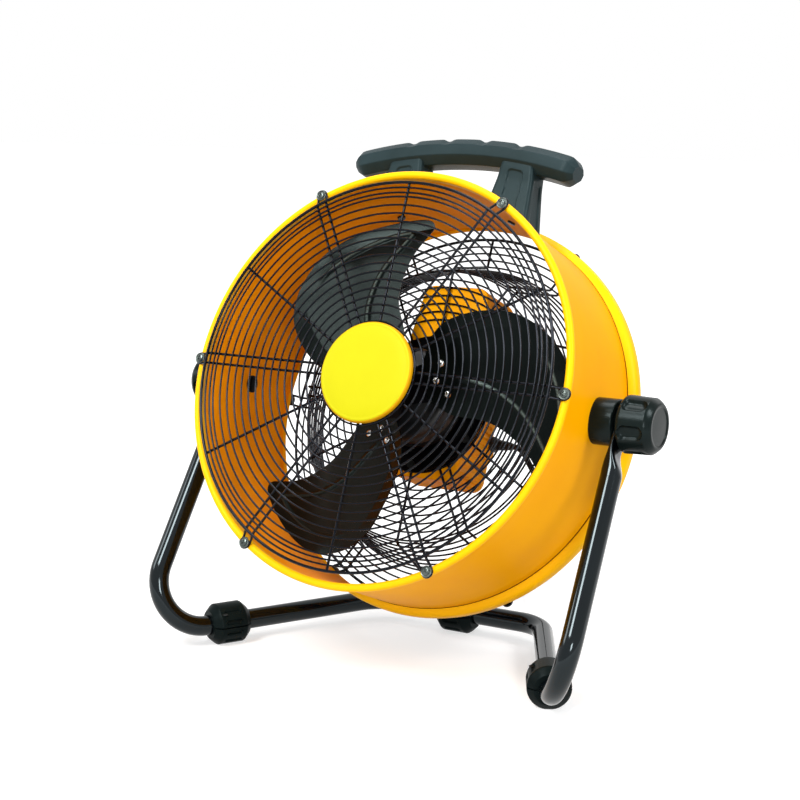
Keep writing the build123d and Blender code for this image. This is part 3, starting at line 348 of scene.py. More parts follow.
def finish_of(name, light, dark, rough, clouds, bump=0.0, grain=900, **sockets):
    """A finish that wanders between two colours and two roughnesses, with a fine bump."""
    material = bpy.data.materials.new(name)
    material.use_nodes = True
    nodes, links = material.node_tree.nodes, material.node_tree.links
    shader = nodes["Principled BSDF"]
    place = nodes.new("ShaderNodeTexCoord")
    cloud = noise(nodes, clouds, 5)
    links.new(place.outputs["Object"], cloud.inputs["Vector"])
    colour = nodes.new("ShaderNodeValToRGB")
    first, last = colour.color_ramp.elements
    first.position, last.position = 0.32, 0.68
    first.color, last.color = (*srgb(*dark), 1), (*srgb(*light), 1)
    links.new(cloud.outputs["Fac"], colour.inputs["Fac"])
    links.new(colour.outputs["Color"], shader.inputs["Base Color"])
    spread = nodes.new("ShaderNodeMapRange")
    spread.inputs["To Min"].default_value, spread.inputs["To Max"].default_value = rough
    links.new(cloud.outputs["Fac"], spread.inputs["Value"])
    links.new(spread.outputs["Result"], shader.inputs["Roughness"])
    if bump:
        peel = noise(nodes, grain, 3)
        links.new(place.outputs["Object"], peel.inputs["Vector"])
        relief = nodes.new("ShaderNodeBump")
        relief.inputs["Strength"].default_value, relief.inputs["Distance"].default_value = bump, 0.0002
        links.new(peel.outputs["Fac"], relief.inputs["Height"])
        links.new(relief.outputs["Normal"], shader.inputs["Normal"])
    for socket, value in sockets.items():
        shader.inputs[socket.replace("_", " ")].default_value = value
    return material


print("screen grey 128 is", round(srgb(128, 128, 128)[0], 3), "of white in light")

# %% [markdown]
# ### Yellow paints
# Drum and box are powder coated a warm yellow: soft gloss with a slight orange peel. One yellow
# would do for a sample card, but the drum's light is painted into copies of it. Its walls light
# each other inside, so the inside is painted a deeper orange as painted bounce light; the rim and
# band are painted a clearer yellow as painted light. The badge's own paint leans towards lemon.
# The narrow seam in front of the rear band is painted brown as painted shade.

# %% Yellow paints
drum_paint = finish_of(
    "drum_paint", (250, 172, 0), (244, 163, 0), rough=(0.4, 0.52), clouds=9, bump=0.12, grain=520,
    IOR=1.12, Specular_IOR_Level=0.4,
)
# Painted bounce light: the inside is painted a deeper orange for the light the walls throw on each
# other.
drum_inside_painted_bounce = finish_of(
    "drum_inside_painted_bounce", (255, 156, 0), (250, 145, 0), rough=(0.5, 0.62), clouds=7, bump=0.1,
    grain=520, IOR=1.12, Specular_IOR_Level=0.3,
)
# Painted light: bead and rear band are painted a clearer yellow for the light they catch.
rim_lit_paint = finish_of(
    "rim_lit_paint", (255, 190, 8), (251, 182, 4), rough=(0.34, 0.46), clouds=9, bump=0.12, grain=520,
    IOR=1.2, Specular_IOR_Level=0.4,
)
# Painted shade: the shallow seam is painted brown for the shadow that falls in it.
seam_painted_shade = finish_of(
    "seam_painted_shade", (132, 70, 6), (88, 44, 4), rough=(0.6, 0.75), clouds=60, bump=0.2, grain=600,
    IOR=1.1,
)
box_paint = finish_of(
    "box_paint", (255, 176, 2), (250, 164, 0), rough=(0.48, 0.6), clouds=14, bump=0.2, grain=700,
    IOR=1.2, Specular_IOR_Level=0.4,
)
badge_paint = finish_of(
    "badge_paint", (185, 179, 14), (180, 174, 12), rough=(0.4, 0.5), clouds=16, bump=0.05,
    grain=600, Specular_IOR_Level=0.08,
)
# Painted shade: the badge's rounded edge is painted a deeper orange where the light falls off it.
badge_rim_painted_shade = finish_of(
    "badge_rim_painted_shade", (206, 150, 4), (196, 140, 2), rough=(0.44, 0.54), clouds=16, IOR=1.2
)
print("yellow paints made, materials in the file:", len(bpy.data.materials))

# %% [markdown]
# ### Blacks
# In a white studio a black piece is drawn by what it mirrors. So these finishes differ less in
# colour than in gloss: the tube has a hard enamel, the wires a thinner one, the blades are satin,
# and the hub is almost matt. A faint green or blue in the specular tint is the cast of the gloss.

# %% Black enamels
wire_black = finish_of(
    "wire_black", (6, 7, 11), (3, 4, 6), rough=(0.1, 0.16), clouds=40, bump=0.05, grain=900,
    Specular_IOR_Level=0.18, Specular_Tint=(0.76, 0.84, 1, 1),
)
fan_black = finish_of(
    "fan_black", (6, 9, 8), (3, 5, 5), rough=(0.2, 0.27), clouds=22, bump=0.1, grain=1400,
    Specular_IOR_Level=0.11, Specular_Tint=(0.78, 1, 0.95, 1),
)
hub_black = finish_of(
    "hub_black", (6, 6, 8), (3, 3, 5), rough=(0.34, 0.46), clouds=30, bump=0.1, grain=900,
    Specular_IOR_Level=0.03,
)
tube_gloss = finish_of(
    "tube_gloss", (5, 8, 11), (3, 4, 6), rough=(0.06, 0.14), clouds=12, bump=0.03, grain=300,
    Specular_IOR_Level=0.32, Specular_Tint=(0.8, 0.95, 1, 1),
)
print("blacks made, materials in the file:", len(bpy.data.materials))

# %% [markdown]
# ### Painted highlights on the ridges
# A lighter line is painted along the pressed ridges of the blades as a painted highlight. It could
# be a picture wrapped on the blade, but a number kept at each vertex is simpler and sharp enough:
# the shader reads it by its name, painted_ridge_highlight, and mixes a second tone in by that much.


# %% A second tone where the mesh says so
def second_tone(material, marks_name, tone):
    """Mixes a tone into a finish by a value that is kept at the vertices of the mesh."""
    nodes, links = material.node_tree.nodes, material.node_tree.links
    marks = nodes.new("ShaderNodeAttribute")
    marks.attribute_name = marks_name
    mix = nodes.new("ShaderNodeMix")
    mix.data_type = "RGBA"
    share, under, over, result = mix.inputs[0], mix.inputs[6], mix.inputs[7], mix.outputs[2]
    over.default_value = (*srgb(*tone), 1)
    base = nodes["Principled BSDF"].inputs["Base Color"]
    links.new(base.links[0].from_socket, under)
    links.new(marks.outputs["Fac"], share)
    links.new(result, base)


# the lighter tone is the painted highlight along the blade ridges
second_tone(fan_black, "painted_ridge_highlight", (104, 118, 112))
print("fan_black has", len(fan_black.node_tree.nodes), "nodes")

# %% [markdown]
# ### Plastics
# Handle, knobs and feet are a fine-grained slate grey plastic. The handle is painted the palest
# as painted light, as its top faces the lamps, and it has a rough skin. Knobs and feet are darker
# and smoother. Cord, plug and strap are a soft matt black.

# %% Slate plastics and rubber
# Painted light: the handle's plastic is painted paler than the knobs' because it faces the lamps.
slate_plastic = finish_of(
    "slate_plastic", (28, 42, 45), (22, 35, 37), rough=(0.34, 0.48), clouds=24, bump=0.45,
    grain=1700, Specular_IOR_Level=0.12, Specular_Tint=(0.8, 0.97, 1, 1),
)
knob_plastic = finish_of(
    "knob_plastic", (16, 24, 23), (11, 17, 16), rough=(0.16, 0.25), clouds=30, bump=0.3,
    grain=1500, Specular_IOR_Level=0.1, Specular_Tint=(0.82, 0.98, 1, 1),
)
foot_plastic = finish_of(
    "foot_plastic", (16, 24, 24), (11, 16, 16), rough=(0.28, 0.4), clouds=30, bump=0.4,
    grain=1500, Specular_IOR_Level=0.04, Specular_Tint=(0.82, 0.98, 1, 1),
)
rubber = finish_of(
    "rubber", (24, 25, 27), (15, 16, 18), rough=(0.5, 0.66), clouds=50, bump=0.3, grain=1200,
    Specular_IOR_Level=0.3,
)
print("plastics made, materials in the file:", len(bpy.data.materials))

# %% [markdown]
# ### Metals
# Rivets, bearings and plug pins are bright, the guards' screws are grey steel, and most other
# screws are darker. The motor behind the guards is a dark casting on a core of laminations with
# copper windings. They are made as the paints are, with the Metallic socket turned up.

# %% Bare metals
bright_steel = finish_of(
    "bright_steel", (206, 206, 202), (168, 168, 166), rough=(0.18, 0.34), clouds=60, bump=0.1,
    grain=900, Metallic=1.0,
)
screw_steel = finish_of(
    "screw_steel", (96, 104, 100), (58, 64, 62), rough=(0.22, 0.36), clouds=60, bump=0.15,
    grain=900, Metallic=0.9,
)
dark_steel = finish_of(
    "dark_steel", (44, 46, 46), (24, 26, 26), rough=(0.28, 0.46), clouds=60, bump=0.15, grain=900,
    Metallic=0.7,
)
casting = finish_of(
    "casting", (26, 28, 30), (14, 16, 18), rough=(0.36, 0.56), clouds=30, bump=0.5, grain=700,
    Metallic=0.3,
)
laminations = finish_of(
    "laminations", (120, 116, 110), (84, 80, 76), rough=(0.35, 0.6), clouds=50, bump=0.3,
    grain=600, Metallic=0.8,
)
copper = finish_of(
    "copper", (196, 112, 62), (150, 78, 40), rough=(0.25, 0.45), clouds=80, bump=0.5, grain=800,
    Metallic=0.8,
)
print("metals made, materials in the file:", len(bpy.data.materials))

# %% [markdown]
# ## The mains cord
# The cord leaves the right side of the control box, comes out of the back of the drum, and drops
# to the floor behind it. The rest is tied in a coil there: a flat spiral inwards, then a second
# layer outwards on top of it, a cord's width apart. The free run is a list of given points, and the
# coil is a formula.

# %% The cord's route
CORD_RADIUS = 3.5
SLEEVE_END = (88, 88.8, -27)  # on the drum
CORD_LEAD = 12  # straight out of the sleeve
CORD_ROUTE = [
    (112, 69, -79),
    (130, 72, -108),
    (134, 90, -146),
    (116, 122, -188),
    (84, 160, -226),
    (46, 204, -262),
    (10, 252, -291),
    (-12, 304, -303.2),
]
COIL_X, COIL_Y, TURN_PITCH = -59, 356, 2 * CORD_RADIUS
OUTER_TURN, INNER_TURN, PER_TURN = 46, 30, 24
CLIMB_START, CLIMB_END, LAST_TURN = 2.0, 2.65, 5.25
LAYER_HEIGHT, TOUCH_HEIGHT = 4.5, 3.8  # of the first layer, and where the cord first lands
TOUCH_STEPS = 3  # from the one height to the other


def coil_radius(turns):
    """A flat spiral inwards, then one outwards on top of it."""
    keys = [0, CLIMB_START, (CLIMB_START + CLIMB_END) / 2, CLIMB_END, LAST_TURN]
    first = OUTER_TURN - TURN_PITCH * CLIMB_START
    last = first + TURN_PITCH * (LAST_TURN - CLIMB_END)
    return float(np.interp(turns, keys, [OUTER_TURN, first, INNER_TURN, first, last]))


mouth = Matrix.Rotation(-TILT, 3, "X") @ Vector(SLEEVE_END)
route = [tuple(mouth), (mouth.x + CORD_LEAD, mouth.y, mouth.z), *CORD_ROUTE]
for step in range(int(LAST_TURN * PER_TURN) + 1):
    turns = step / PER_TURN
    angle, reach = 2 * math.pi * turns, coil_radius(turns)
    lift = float(np.interp(step, (0, TOUCH_STEPS), (TOUCH_HEIGHT, LAYER_HEIGHT)))
    lift += TURN_PITCH * float(smooth_step(turns, CLIMB_START, CLIMB_END))
    route.append((COIL_X + reach * math.cos(angle), COIL_Y + reach * math.sin(angle), FLOOR + lift))
PLUG_X, PLUG_Y, PLUG_Z = COIL_X - 58, COIL_Y + 47, FLOOR + 11
tail_y = route[-1][1]
route += [(COIL_X - 12, tail_y, FLOOR + 11.5), (COIL_X - 34, (tail_y + PLUG_Y) / 2, PLUG_Z)]
route += [(PLUG_X + 10, PLUG_Y, PLUG_Z), (PLUG_X, PLUG_Y, PLUG_Z)]
print("the route has", len(route), "points")

# %% [markdown]
# The route becomes a NURBS curve, because that stays smooth however few points it has. Blender
# works out the points along it, and the curve itself is thrown away. The cord joins the leaning
# drum to the stand, so it is a mesh that rides on neither body.

# %% Points along the cord
curve = bpy.data.curves.new("cord_line", "CURVE")
curve.dimensions = "3D"
curve.resolution_u = 6
spline = curve.splines.new("NURBS")
spline.points.add(len(route) - 1)
for point, place in zip(spline.points, route):
    point.co = (*(ON_STAND @ Vector(place)), 1)
spline.order_u = 3
spline.use_endpoint_u = True
line = bpy.data.objects.new("cord_line", curve)
bpy.context.scene.collection.objects.link(line)
traced = bpy.data.meshes.new_from_object(line)
cord_path = [tuple(v.co) for v in traced.vertices]
bpy.data.objects.remove(line)
print("cord", len(cord_path), "points", round(length_of(cord_path), 3), "m")

# %% [markdown]
# A moulded tapered sleeve keeps the cord from kinking where it leaves the box. Its grooves make
# it flexible: each is a step in the turned outline, a little narrower than the one before.

# %% Cord and sleeve
ALREADY_METRES = Matrix.Identity(4)
GROOVES, GROOVE_PITCH = 6, 3.6
cord = piece(
    "mains_cord_flex", wire(cord_path, CORD_RADIUS * 0.001, sides=14), None, rubber,
    ALREADY_METRES, ("mains_cord", "cord_coil", "cord_tail"),
)
sleeve_outline = [(0, 52), (7, 52), (9.5, 61.9), (9.5, 64.4), (7.2, 65)]
for k in range(GROOVES):
    x, wide = 66 + GROOVE_PITCH * k, 7 - 0.42 * k
    sleeve_outline += [(wide, x), (wide, x + 1.8), (wide - 1.3, x + 2), (wide - 1.5, x + 3.4)]
sleeve_outline += [(4.4, SLEEVE_END[0]), (0, SLEEVE_END[0])]
cord_sleeve = piece(
    "cord_sleeve",
    moved(turned_across(sleeve_outline, 40), Matrix.Translation((0, *SLEEVE_END[1:]))),
    "drum", rubber, ON_DRUM, ("cord_gland",), bevel=0.25,
)
print("cord skin", len(cord.data.vertices), "points")

# %% [markdown]
# The plug is a rounded block with a short neck and two round pins. The block is a stack of
# rounded rectangles that shrink a little towards both ends.


# %% Plug and pins
def rounded_block(length, width, height, corner, ends):
    """A block along X with rounded long edges and softened ends, centred on the origin."""
    outline = np.array(sum(round_corners(width, height, corner, 6), []))
    stations = [(-length / 2, -ends), (-length / 2 + ends * 0.3, -ends * 0.3), (-length / 2 + ends, 0)]
    stations += [(-x, inset) for x, inset in reversed(stations)]
    rows = []
    for x, inset in stations:
        share = 1 + inset * 2 / np.array([width, height])
        rows.append(np.column_stack([np.full(len(outline), x), outline * share]))
    return capped_grid(rows)


PLUG_LENGTH, PIN_SPACING = 38, 19
plug_middle = Matrix.Translation((PLUG_X - PLUG_LENGTH / 2, PLUG_Y, PLUG_Z))
plug_body = moved(rounded_block(PLUG_LENGTH, 30, 22, corner=8, ends=3), plug_middle)
neck_line = [(PLUG_X - 1 + 3 * k, PLUG_Y, PLUG_Z) for k in range(5)]
plug_neck = wire(neck_line, [7, 6.2, 5.4, 4.8, 4.3], 24)
plug = piece(
    "mains_plug_body", joined(plug_body, plug_neck), "stand", rubber, ON_STAND,
    ("mains_plug",), bevel=0.4,
)
pins = []
for side in (-1, 1):
    root = PLUG_X - PLUG_LENGTH
    stations = [root + 1, root - 16, root - 18.2, root - 19]
    path = [(x, PLUG_Y + side * PIN_SPACING / 2, PLUG_Z) for x in stations]
    pins.append(wire(path, [2.4, 2.4, 1.9, 1.1], 20))
plug_pins = piece(
    "plug_contact_pins", joined(*pins), "stand", bright_steel, ON_STAND,
    ("plug_pins",),
)
print("plug", PLUG_LENGTH, "mm long, pins", PIN_SPACING, "mm apart")

# %% [markdown]
# A strap holds the coil. It is a flat band, wrapped round both layers of turns on the side that
# faces the fan.

# %% Strap, and what the cord is
STRAP_INSIDE, STRAP_CORNER, STRAP_HALF, STRAP_THICK = (24, 15), 2.5, 3, 1
STRAP_SPOT = (COIL_X, COIL_Y - 40, FLOOR + 8)
inside = np.array(sum(round_corners(*STRAP_INSIDE, STRAP_CORNER, 10), []))
rows = []
for side, grow in ((-1, 0), (-1, STRAP_THICK), (1, STRAP_THICK), (1, 0)):
    edge_x = np.full(len(inside), side * STRAP_HALF)
    rows.append(np.column_stack([edge_x, inside + np.sign(inside) * grow]))
strap = moved(grid(np.array(rows), around=True, closed=True), Matrix.Translation(STRAP_SPOT))
cord_tie = piece(
    "cord_tie_strap", strap, "stand", rubber, ON_STAND, ("cord_tie",), bevel=0.2
)
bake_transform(cord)
print("cord pieces ready")

# %% [markdown]
# ## The drum
# The wall is a sheet rolled into a cylinder. Its front edge is curled into a fat round bead, and
# a wider band is pressed in at the back, behind a narrow seam. One turned outline gives all of
# it, because the outline's corners are where the shape changes. The outline is written as steps
# out from the wall, so that the drum's radius stands in one place.

# %% The drum wall's outline
SHELL, FRONT_EDGE, REAR_EDGE = 236, -108, 88
BEAD = 4.6


def off_wall(*outline):
    """An outline of (step out from the wall, depth) points as (radius, depth) points."""
    return [(SHELL + step, depth) for step, depth in outline]


bead = arc((SHELL + 3.4, FRONT_EDGE + BEAD), BEAD, 150, 392, 26)
bead_foot = off_wall((5.2, -98), (3, -95.9), (1.2, -94.2), (0.3, -92.4), (0, -90))
wall_outside = off_wall((0, -60), (0, -20), (0, 20), (0, 50), (0, 64))
seam = off_wall((-0.4, 64.8), (-1.1, 65.3), (-1.1, 65.9), (0.4, 66.3))
band = off_wall((3.2, 67.4), (6.2, 69.2), (8.4, 71.5), (9.3, 74), (9.5, 77), (9.5, 81))
band += off_wall((9.1, 83.8), (7.8, 86.2), (5.6, 87.6), (3.4, REAR_EDGE), (1.4, REAR_EDGE))
band_inside = off_wall((1.4, 86.8), (5, 86.6), (7.4, 84.6), (8.2, 81), (8.2, 76), (6.4, 71.6))
wall_inside = off_wall((2, 68.6), (-1.6, 66.8), (-1.6, 50), (-1.2, 0), (-1.2, -60), (-1.2, -97))
drum_wall = turned(bead + bead_foot + wall_outside + seam + band + band_inside + wall_inside, 192)
print("drum", 2 * (SHELL + 9.5), "mm across its band")

# %% [markdown]
# The wall is one mesh with four paints, three of them painted light or shade. A face gets its
# paint by where it lies and which way it looks: inside (painted bounce light), seam (painted
# shade), rim and band (painted light), or plain outside.

# %% Drum wall, paint by paint
BEAD_END, SEAM_START, SEAM_END, INSIDE_END = -95, 64.9, 66.4, 86
wall = piece(
    "drum_wall", drum_wall, "drum", [drum_paint, drum_inside_painted_bounce, rim_lit_paint, seam_painted_shade],
    ON_DRUM, ("drum_shell",), sharp=50,
)
for face in wall.data.polygons:
    centre, facing = to_drum @ face.center, to_drum.to_3x3() @ face.normal
    inward = Vector((centre.x, 0, centre.z)).normalized().dot(facing) < -0.3
    # inside faces: deeper orange, painted bounce light
    if inward and BEAD_END - 1 < centre.y < INSIDE_END:
        face.material_index = 1
    # seam faces: brown, painted shade
    elif SEAM_START < centre.y < SEAM_END:
        face.material_index = 3
    # bead and band: clearer yellow, painted light
    elif centre.y < BEAD_END or centre.y > SEAM_END:
        face.material_index = 2
print("drum wall", len(wall.data.polygons), "faces")

# %% [markdown]
# ## Wire grilles
# Both grilles are welded from round wire: rings, six single spokes, and six hairpins whose bend
# is an eyelet under a screw. Three small functions make the three kinds of wire. Depths run along
# the fan axis: rings lie outermost, and the spokes are welded on behind them.

# %% Rings, spokes and hairpins
RING_WIRE, RIM_WIRE, SPOKE_WIRE, HAIRPIN_WIRE = 2.3, 3.6, 3.2, 3.0
EYELET_CIRCLE, LEG = SHELL + 4, 5.9  # each leg of a hairpin lies LEG away from its middle line
RIM_STEP = (RIM_WIRE - RING_WIRE) / 2  # a rim wire is thicker, so its middle lies further in
LAID_ON = (RING_WIRE + SPOKE_WIRE) / 2 + 0.05  # from the middle of a ring to that of a spoke


def ring(radius, depth, thickness=RING_WIRE):
    steps = 144 if radius > 120 else 96
    angle = np.linspace(0, 2 * math.pi, steps, endpoint=False)
    path = np.stack([radius * np.cos(angle), np.full(steps, depth), radius * np.sin(angle)], 1)
    return wire(path, thickness / 2, 8, closed=True)


def single_spoke(corners, bend):
    path = bent([(r, depth, 0) for r, depth in corners], [bend] * (len(corners) - 2), 5)
    return wire(path, SPOKE_WIRE / 2, 10)


def hairpin(corners, bend):
    """Out along one leg, round the screw and back along the other."""
    leg = bent([(r, depth, LEG) for r, depth in corners], [bend] * (len(corners) - 2), 5)
    seat = corners[-1][1]
    loop = [(x, seat, z) for x, z in arc((EYELET_CIRCLE, 0), LEG, 80, -80, 14)]
    back = leg[::-1] * (1, 1, -1)
    return wire(np.vstack([leg, loop, back]), HAIRPIN_WIRE / 2, 10)


def six_arms(spoke, pin):
    """Six single spokes with six hairpins half way between them."""
    arms = []
    for k in range(6):
        arms.append(at_angle(spoke, 60 * k + 30))
        arms.append(at_angle(pin, 60 * k))
    return arms


print("a ring has", len(ring(200, 0)[0]), "points")

# %% [markdown]
# The front guard is nearly flat: three rings close together at the rim, then evenly spaced ones
# down to the ring that holds the badge. Its hairpins step back over the drum's edge.

# %% Front guard
FRONT_RIM, HUB_RING, FIELD_RINGS = SHELL - 10.5, 50.3, 16
FRONT_RINGS = FRONT_EDGE - 11.5
FRONT_SPOKES, FRONT_SEAT = FRONT_RINGS + LAID_ON, FRONT_EDGE - HAIRPIN_WIRE / 2
field_radii = np.linspace(FRONT_RIM - 27.3, HUB_RING, FIELD_RINGS)
front_radii = [FRONT_RIM - step for step in (6.5, 12.5, 17.5)] + list(field_radii[:-1])
front_spoke = single_spoke([(HUB_RING, FRONT_SPOKES), (FRONT_RIM, FRONT_SPOKES)], 1)
front_step = [(HUB_RING, FRONT_SPOKES), (FRONT_RIM - 1, FRONT_SPOKES)]
front_step += [(SHELL, FRONT_SEAT), (EYELET_CIRCLE, FRONT_SEAT)]
wires = [ring(r, FRONT_RINGS + RIM_STEP, RIM_WIRE) for r in (FRONT_RIM, HUB_RING)]
wires += [ring(r, FRONT_RINGS) for r in front_radii]
wires += six_arms(front_spoke, hairpin(front_step, 5))
piece(
    "front_guard", joined(*wires), "drum", wire_black, ON_DRUM, ("front_grille",),
    sharp=60,
)
print("front guard", len(wires), "wires")

# %% [markdown]
# The rear guard dips into the drum as a basket that carries the motor: edge rings in a plane, a
# sloping wall of rings, and a floor of rings round the motor. The same path, out along the floor
# and up the wall, serves the spokes and the hairpins.

# %% Rear guard
REAR_RIM, BASKET_FLOOR, BASKET_MOUTH, MOTOR_RING = SHELL - 5.6, 168, 193, 82
BASKET_DEPTH, EDGE_PITCH, FLOOR_PITCH, WALL_RINGS = 79.7, 8.8, 10, 8
WALL_RING_IN, WALL_RING_BACK = 2.95, 0.92  # from the sloping wall to the rings welded on it
REAR_RINGS = REAR_EDGE + 13.8
REAR_SPOKES, REAR_SEAT = REAR_RINGS - LAID_ON, REAR_EDGE + HAIRPIN_WIRE / 2
FLOOR_DEPTH = REAR_SPOKES - BASKET_DEPTH
basket = [(MOTOR_RING, FLOOR_DEPTH), (BASKET_FLOOR, FLOOR_DEPTH), (BASKET_MOUTH, REAR_SPOKES)]
rear_step = basket + [(REAR_RIM - 1, REAR_SPOKES), (SHELL - 1.8, REAR_SEAT), (EYELET_CIRCLE, REAR_SEAT)]
wires = [ring(REAR_RIM, REAR_RINGS - RIM_STEP, RIM_WIRE)]
wires.append(ring(MOTOR_RING, FLOOR_DEPTH + LAID_ON - RIM_STEP, RIM_WIRE))
wires += [ring(REAR_RIM - EDGE_PITCH * k, REAR_RINGS) for k in range(1, 5)]
for share in (np.arange(WALL_RINGS) + 0.5) / WALL_RINGS:
    radius = BASKET_FLOOR + (BASKET_MOUTH - BASKET_FLOOR) * share - WALL_RING_IN
    wires.append(ring(radius, FLOOR_DEPTH + BASKET_DEPTH * share + WALL_RING_BACK))
wires += [ring(BASKET_FLOOR - 4 - FLOOR_PITCH * k, FLOOR_DEPTH + LAID_ON) for k in range(7)]
wires += six_arms(single_spoke(basket + [(REAR_RIM, REAR_SPOKES)], 6), hairpin(rear_step, 2.4))
piece(
    "rear_guard", joined(*wires), "drum", wire_black, ON_DRUM, ("rear_grille",),
    sharp=60,
)
print("rear guard", len(wires), "wires")

# %% [markdown]
# Six round-headed screws with cup washers hold each grille to the edge of the drum. Close up, such
# a screw is a set of rings: the washer's rolled rim, a groove, the domed head and a cross in its
# middle. The cross is cut by pulling the middle of the turned grid down where its arms are.


# %% A cross-recessed screw head
def screw_head(radius, height, steps=48):
    """A domed head that stands on the plane Z = 0 and points up +Z, with a cross in it."""
    angle = np.linspace(0, 2 * math.pi, steps, endpoint=False)
    rows = []
    for share in (0.0, 0.1, 0.2, 0.3, 0.4, 0.5, 0.62, 0.75, 0.86, 0.95, 1.0):
        r = radius * share
        x, y = r * np.cos(angle), r * np.sin(angle)
        arm = np.minimum(np.abs(x), np.abs(y))
        inside = 1 - smooth_step(r, 0.45 * radius, 0.62 * radius)
        cross = (1 - smooth_step(arm, 0.1 * radius, 0.2 * radius)) * inside
        z = height * (1 - 0.45 * share**2.4) - 0.7 * height * cross
        rows.append(np.stack([x, y, z], 1))
    rows.append(np.stack([radius * np.cos(angle), radius * np.sin(angle), 0 * angle], 1))
    return grid(np.array(rows), around=True)


cup = [(0, -0.9), (6.5, -0.9), (6.5, -0.2), (6.2, 0.3), (5.7, 0.5), (5.2, 0.35), (4.9, -0.1), (0, -0.1)]
washer = swapped(turned(cup, 40, closed=False))
guard_screw = joined(washer, moved(screw_head(4.2, 2.1), Matrix.Translation((0, 0, -0.1))))
print("a guard screw has", len(guard_screw[0]), "points")

# %% [markdown]
# The same screw serves both guards, six times each, with its cross turned a little further every
# time, since no one lines screws up.

# %% Guard screws
SCREW_STAND = 2.4  # washer out from the seat of the eyelet
for name, node, depth, quarter_turn in (
    ("front_guard_screws", "front_grille_screws", FRONT_SEAT - SCREW_STAND, 90),
    ("rear_guard_screws", "rear_grille_screws", REAR_SEAT + SCREW_STAND, -90),
):
    spot = Matrix.Translation((EYELET_CIRCLE, depth, 0))
    spot = spot @ Matrix.Rotation(math.radians(quarter_turn), 4, "X")
    screws = []
    for k in range(6):
        screws.append(at_angle(moved(guard_screw, spot @ Matrix.Rotation(0.4 * k, 4, "Z")), 60 * k))
    piece(name, joined(*screws), "drum", screw_steel, ON_DRUM, (node,))
print("guard screws on a circle of", 2 * EYELET_CIRCLE, "mm")

# %% [markdown]
# ## Badge
# The cap in the middle of the guard is a plain disc, hardly domed, in a more lemon yellow than the
# drum. A fine groove runs inside its rounded edge, and the edge is painted a deeper orange as
# painted shade, where the light falls off. Disc and edge are one turned outline with two paints,
# as on the drum wall.

# %% Badge
BADGE, BADGE_EDGE = HUB_RING + 8.2, 3.9
cap = [(0, -127), (20, -126.95), (40, -126.75), (52, -126.4), (53.4, -126.1), (54.2, -126.2)]
cap += arc((BADGE - BADGE_EDGE, -122.4), BADGE_EDGE, 280, 358, 8) + [(BADGE, -120.7), (0, -120.7)]
badge = piece(
    "badge_cap", turned(cap, 160), "drum", [badge_paint, badge_rim_painted_shade], ON_DRUM,
    ("front_badge",), sharp=42,
)
for face in badge.data.polygons:
    centre = to_drum @ face.center
    # faces near the edge get the painted shade
    face.material_index = int(math.hypot(centre.x, centre.z) > BADGE - 1.9)
print("badge", 2 * BADGE, "mm across")

# %% [markdown]
# ## Motor
# The motor sits on a black plate on the floor of the basket. Only the bells and the plate show
# through the guards, so those are turned again with rounded shoulders, and the rest keeps its CAD
# shape with a fitting metal.


# %% Motor bells and plate
def bell(open_side, closed_side, way):
    """A cup with a bearing seat; way is +1 where it opens to the back and -1 to the front."""
    shoulder = (270, 360) if way > 0 else (90, 0)
    outside = [(8, 0), (30, 0), (31.5, 0.9), (40, 0.9)]
    inside = [(53, 10), (44, 3), (19, 3), (19, 12), (16, 12), (16, 3), (8, 3)]
    outline = [(r, closed_side + way * step) for r, step in outside]
    outline += arc((48, closed_side + way * 8), 8, *shoulder, 8)
    outline += [(56, open_side), (53, open_side)]
    return turned(outline + [(r, closed_side + way * step) for r, step in inside], 96)


PLATE_FRONT, PLATE_BACK = 15.2, 17.7
for name, shape, node in (
    ("motor_bell_front", bell(-16.8, -30.8, 1), "motor_front_bell"),
    ("motor_bell_rear", bell(1.2, PLATE_FRONT, -1), "motor_rear_bell"),
):
    piece(name, shape, "drum", casting, ON_DRUM, (node,), sharp=40)
plate = [(16, PLATE_FRONT), (57, PLATE_FRONT), (58.5, 14.2), (62, 14.2), (63.5, PLATE_FRONT)]
plate += [(70, PLATE_FRONT), (78, PLATE_FRONT), (79, 14.4), (80.4, 14.4), (81, 15)]
plate += [(81, PLATE_BACK), (16, PLATE_BACK)]
piece(
    "motor_carrier", turned(plate, 128), "drum", hub_black, ON_DRUM,
    ("motor_plate",), sharp=40,
)
print("motor plate", round(PLATE_BACK - PLATE_FRONT, 1), "mm thick")

# %% [markdown]
# ## Fan
# Each blade is a thin sheet, curved across its width and pitched against the axis. It is drawn in
# polar rows: for each distance from the axis two curves say where its trailing and leading edges
# are. Both curves, and the lines of the ridges, are smooth curves through a few knots.

# %% Blade outline
PITCH, SHEET, FAN_DEPTH = math.radians(18), 1.6, -46.2
CAMBER, CAMBER_MIDDLE = 900, -30  # radius of the sheet's curve, and where its middle lies
TIP = SHELL - 19.5
# distance from the axis, trailing edge and leading edge in degrees past the root
EDGE = [
    (36, -27, 27), (50, -32, 34), (68, -34, 39), (84, -32, 39.2), (100, -29.6, 36.8),
    (116, -28.8, 32.6), (131, -29.6, 28.6), (145, -31, 24.8), (160, -32.9, 20.6),
    (175, -35.2, 15.4), (188, -37.8, 9.8), (197, -39.6, 5.2), (204, -40.9, 0.9),
    (209, -41.1, -3.2), (213, -40.4, -8.2), (215.4, -39, -13), (TIP, -36.5, -20),
]
# distance from the axis and degrees past the root, along each pressed ridge
MAIN_RIDGE = [(62, 7), (78, -1.5), (96, -6.5), (114, -10.5), (134, -15.5), (152, -20.2)]
MAIN_RIDGE += [(168, -25), (184, -30), (198, -34)]
TIP_RIDGE = [(178, 4.5), (186, -1.5), (190.5, -7), (194.5, -12.5), (198, -20), (200.5, -27), (201, -33)]


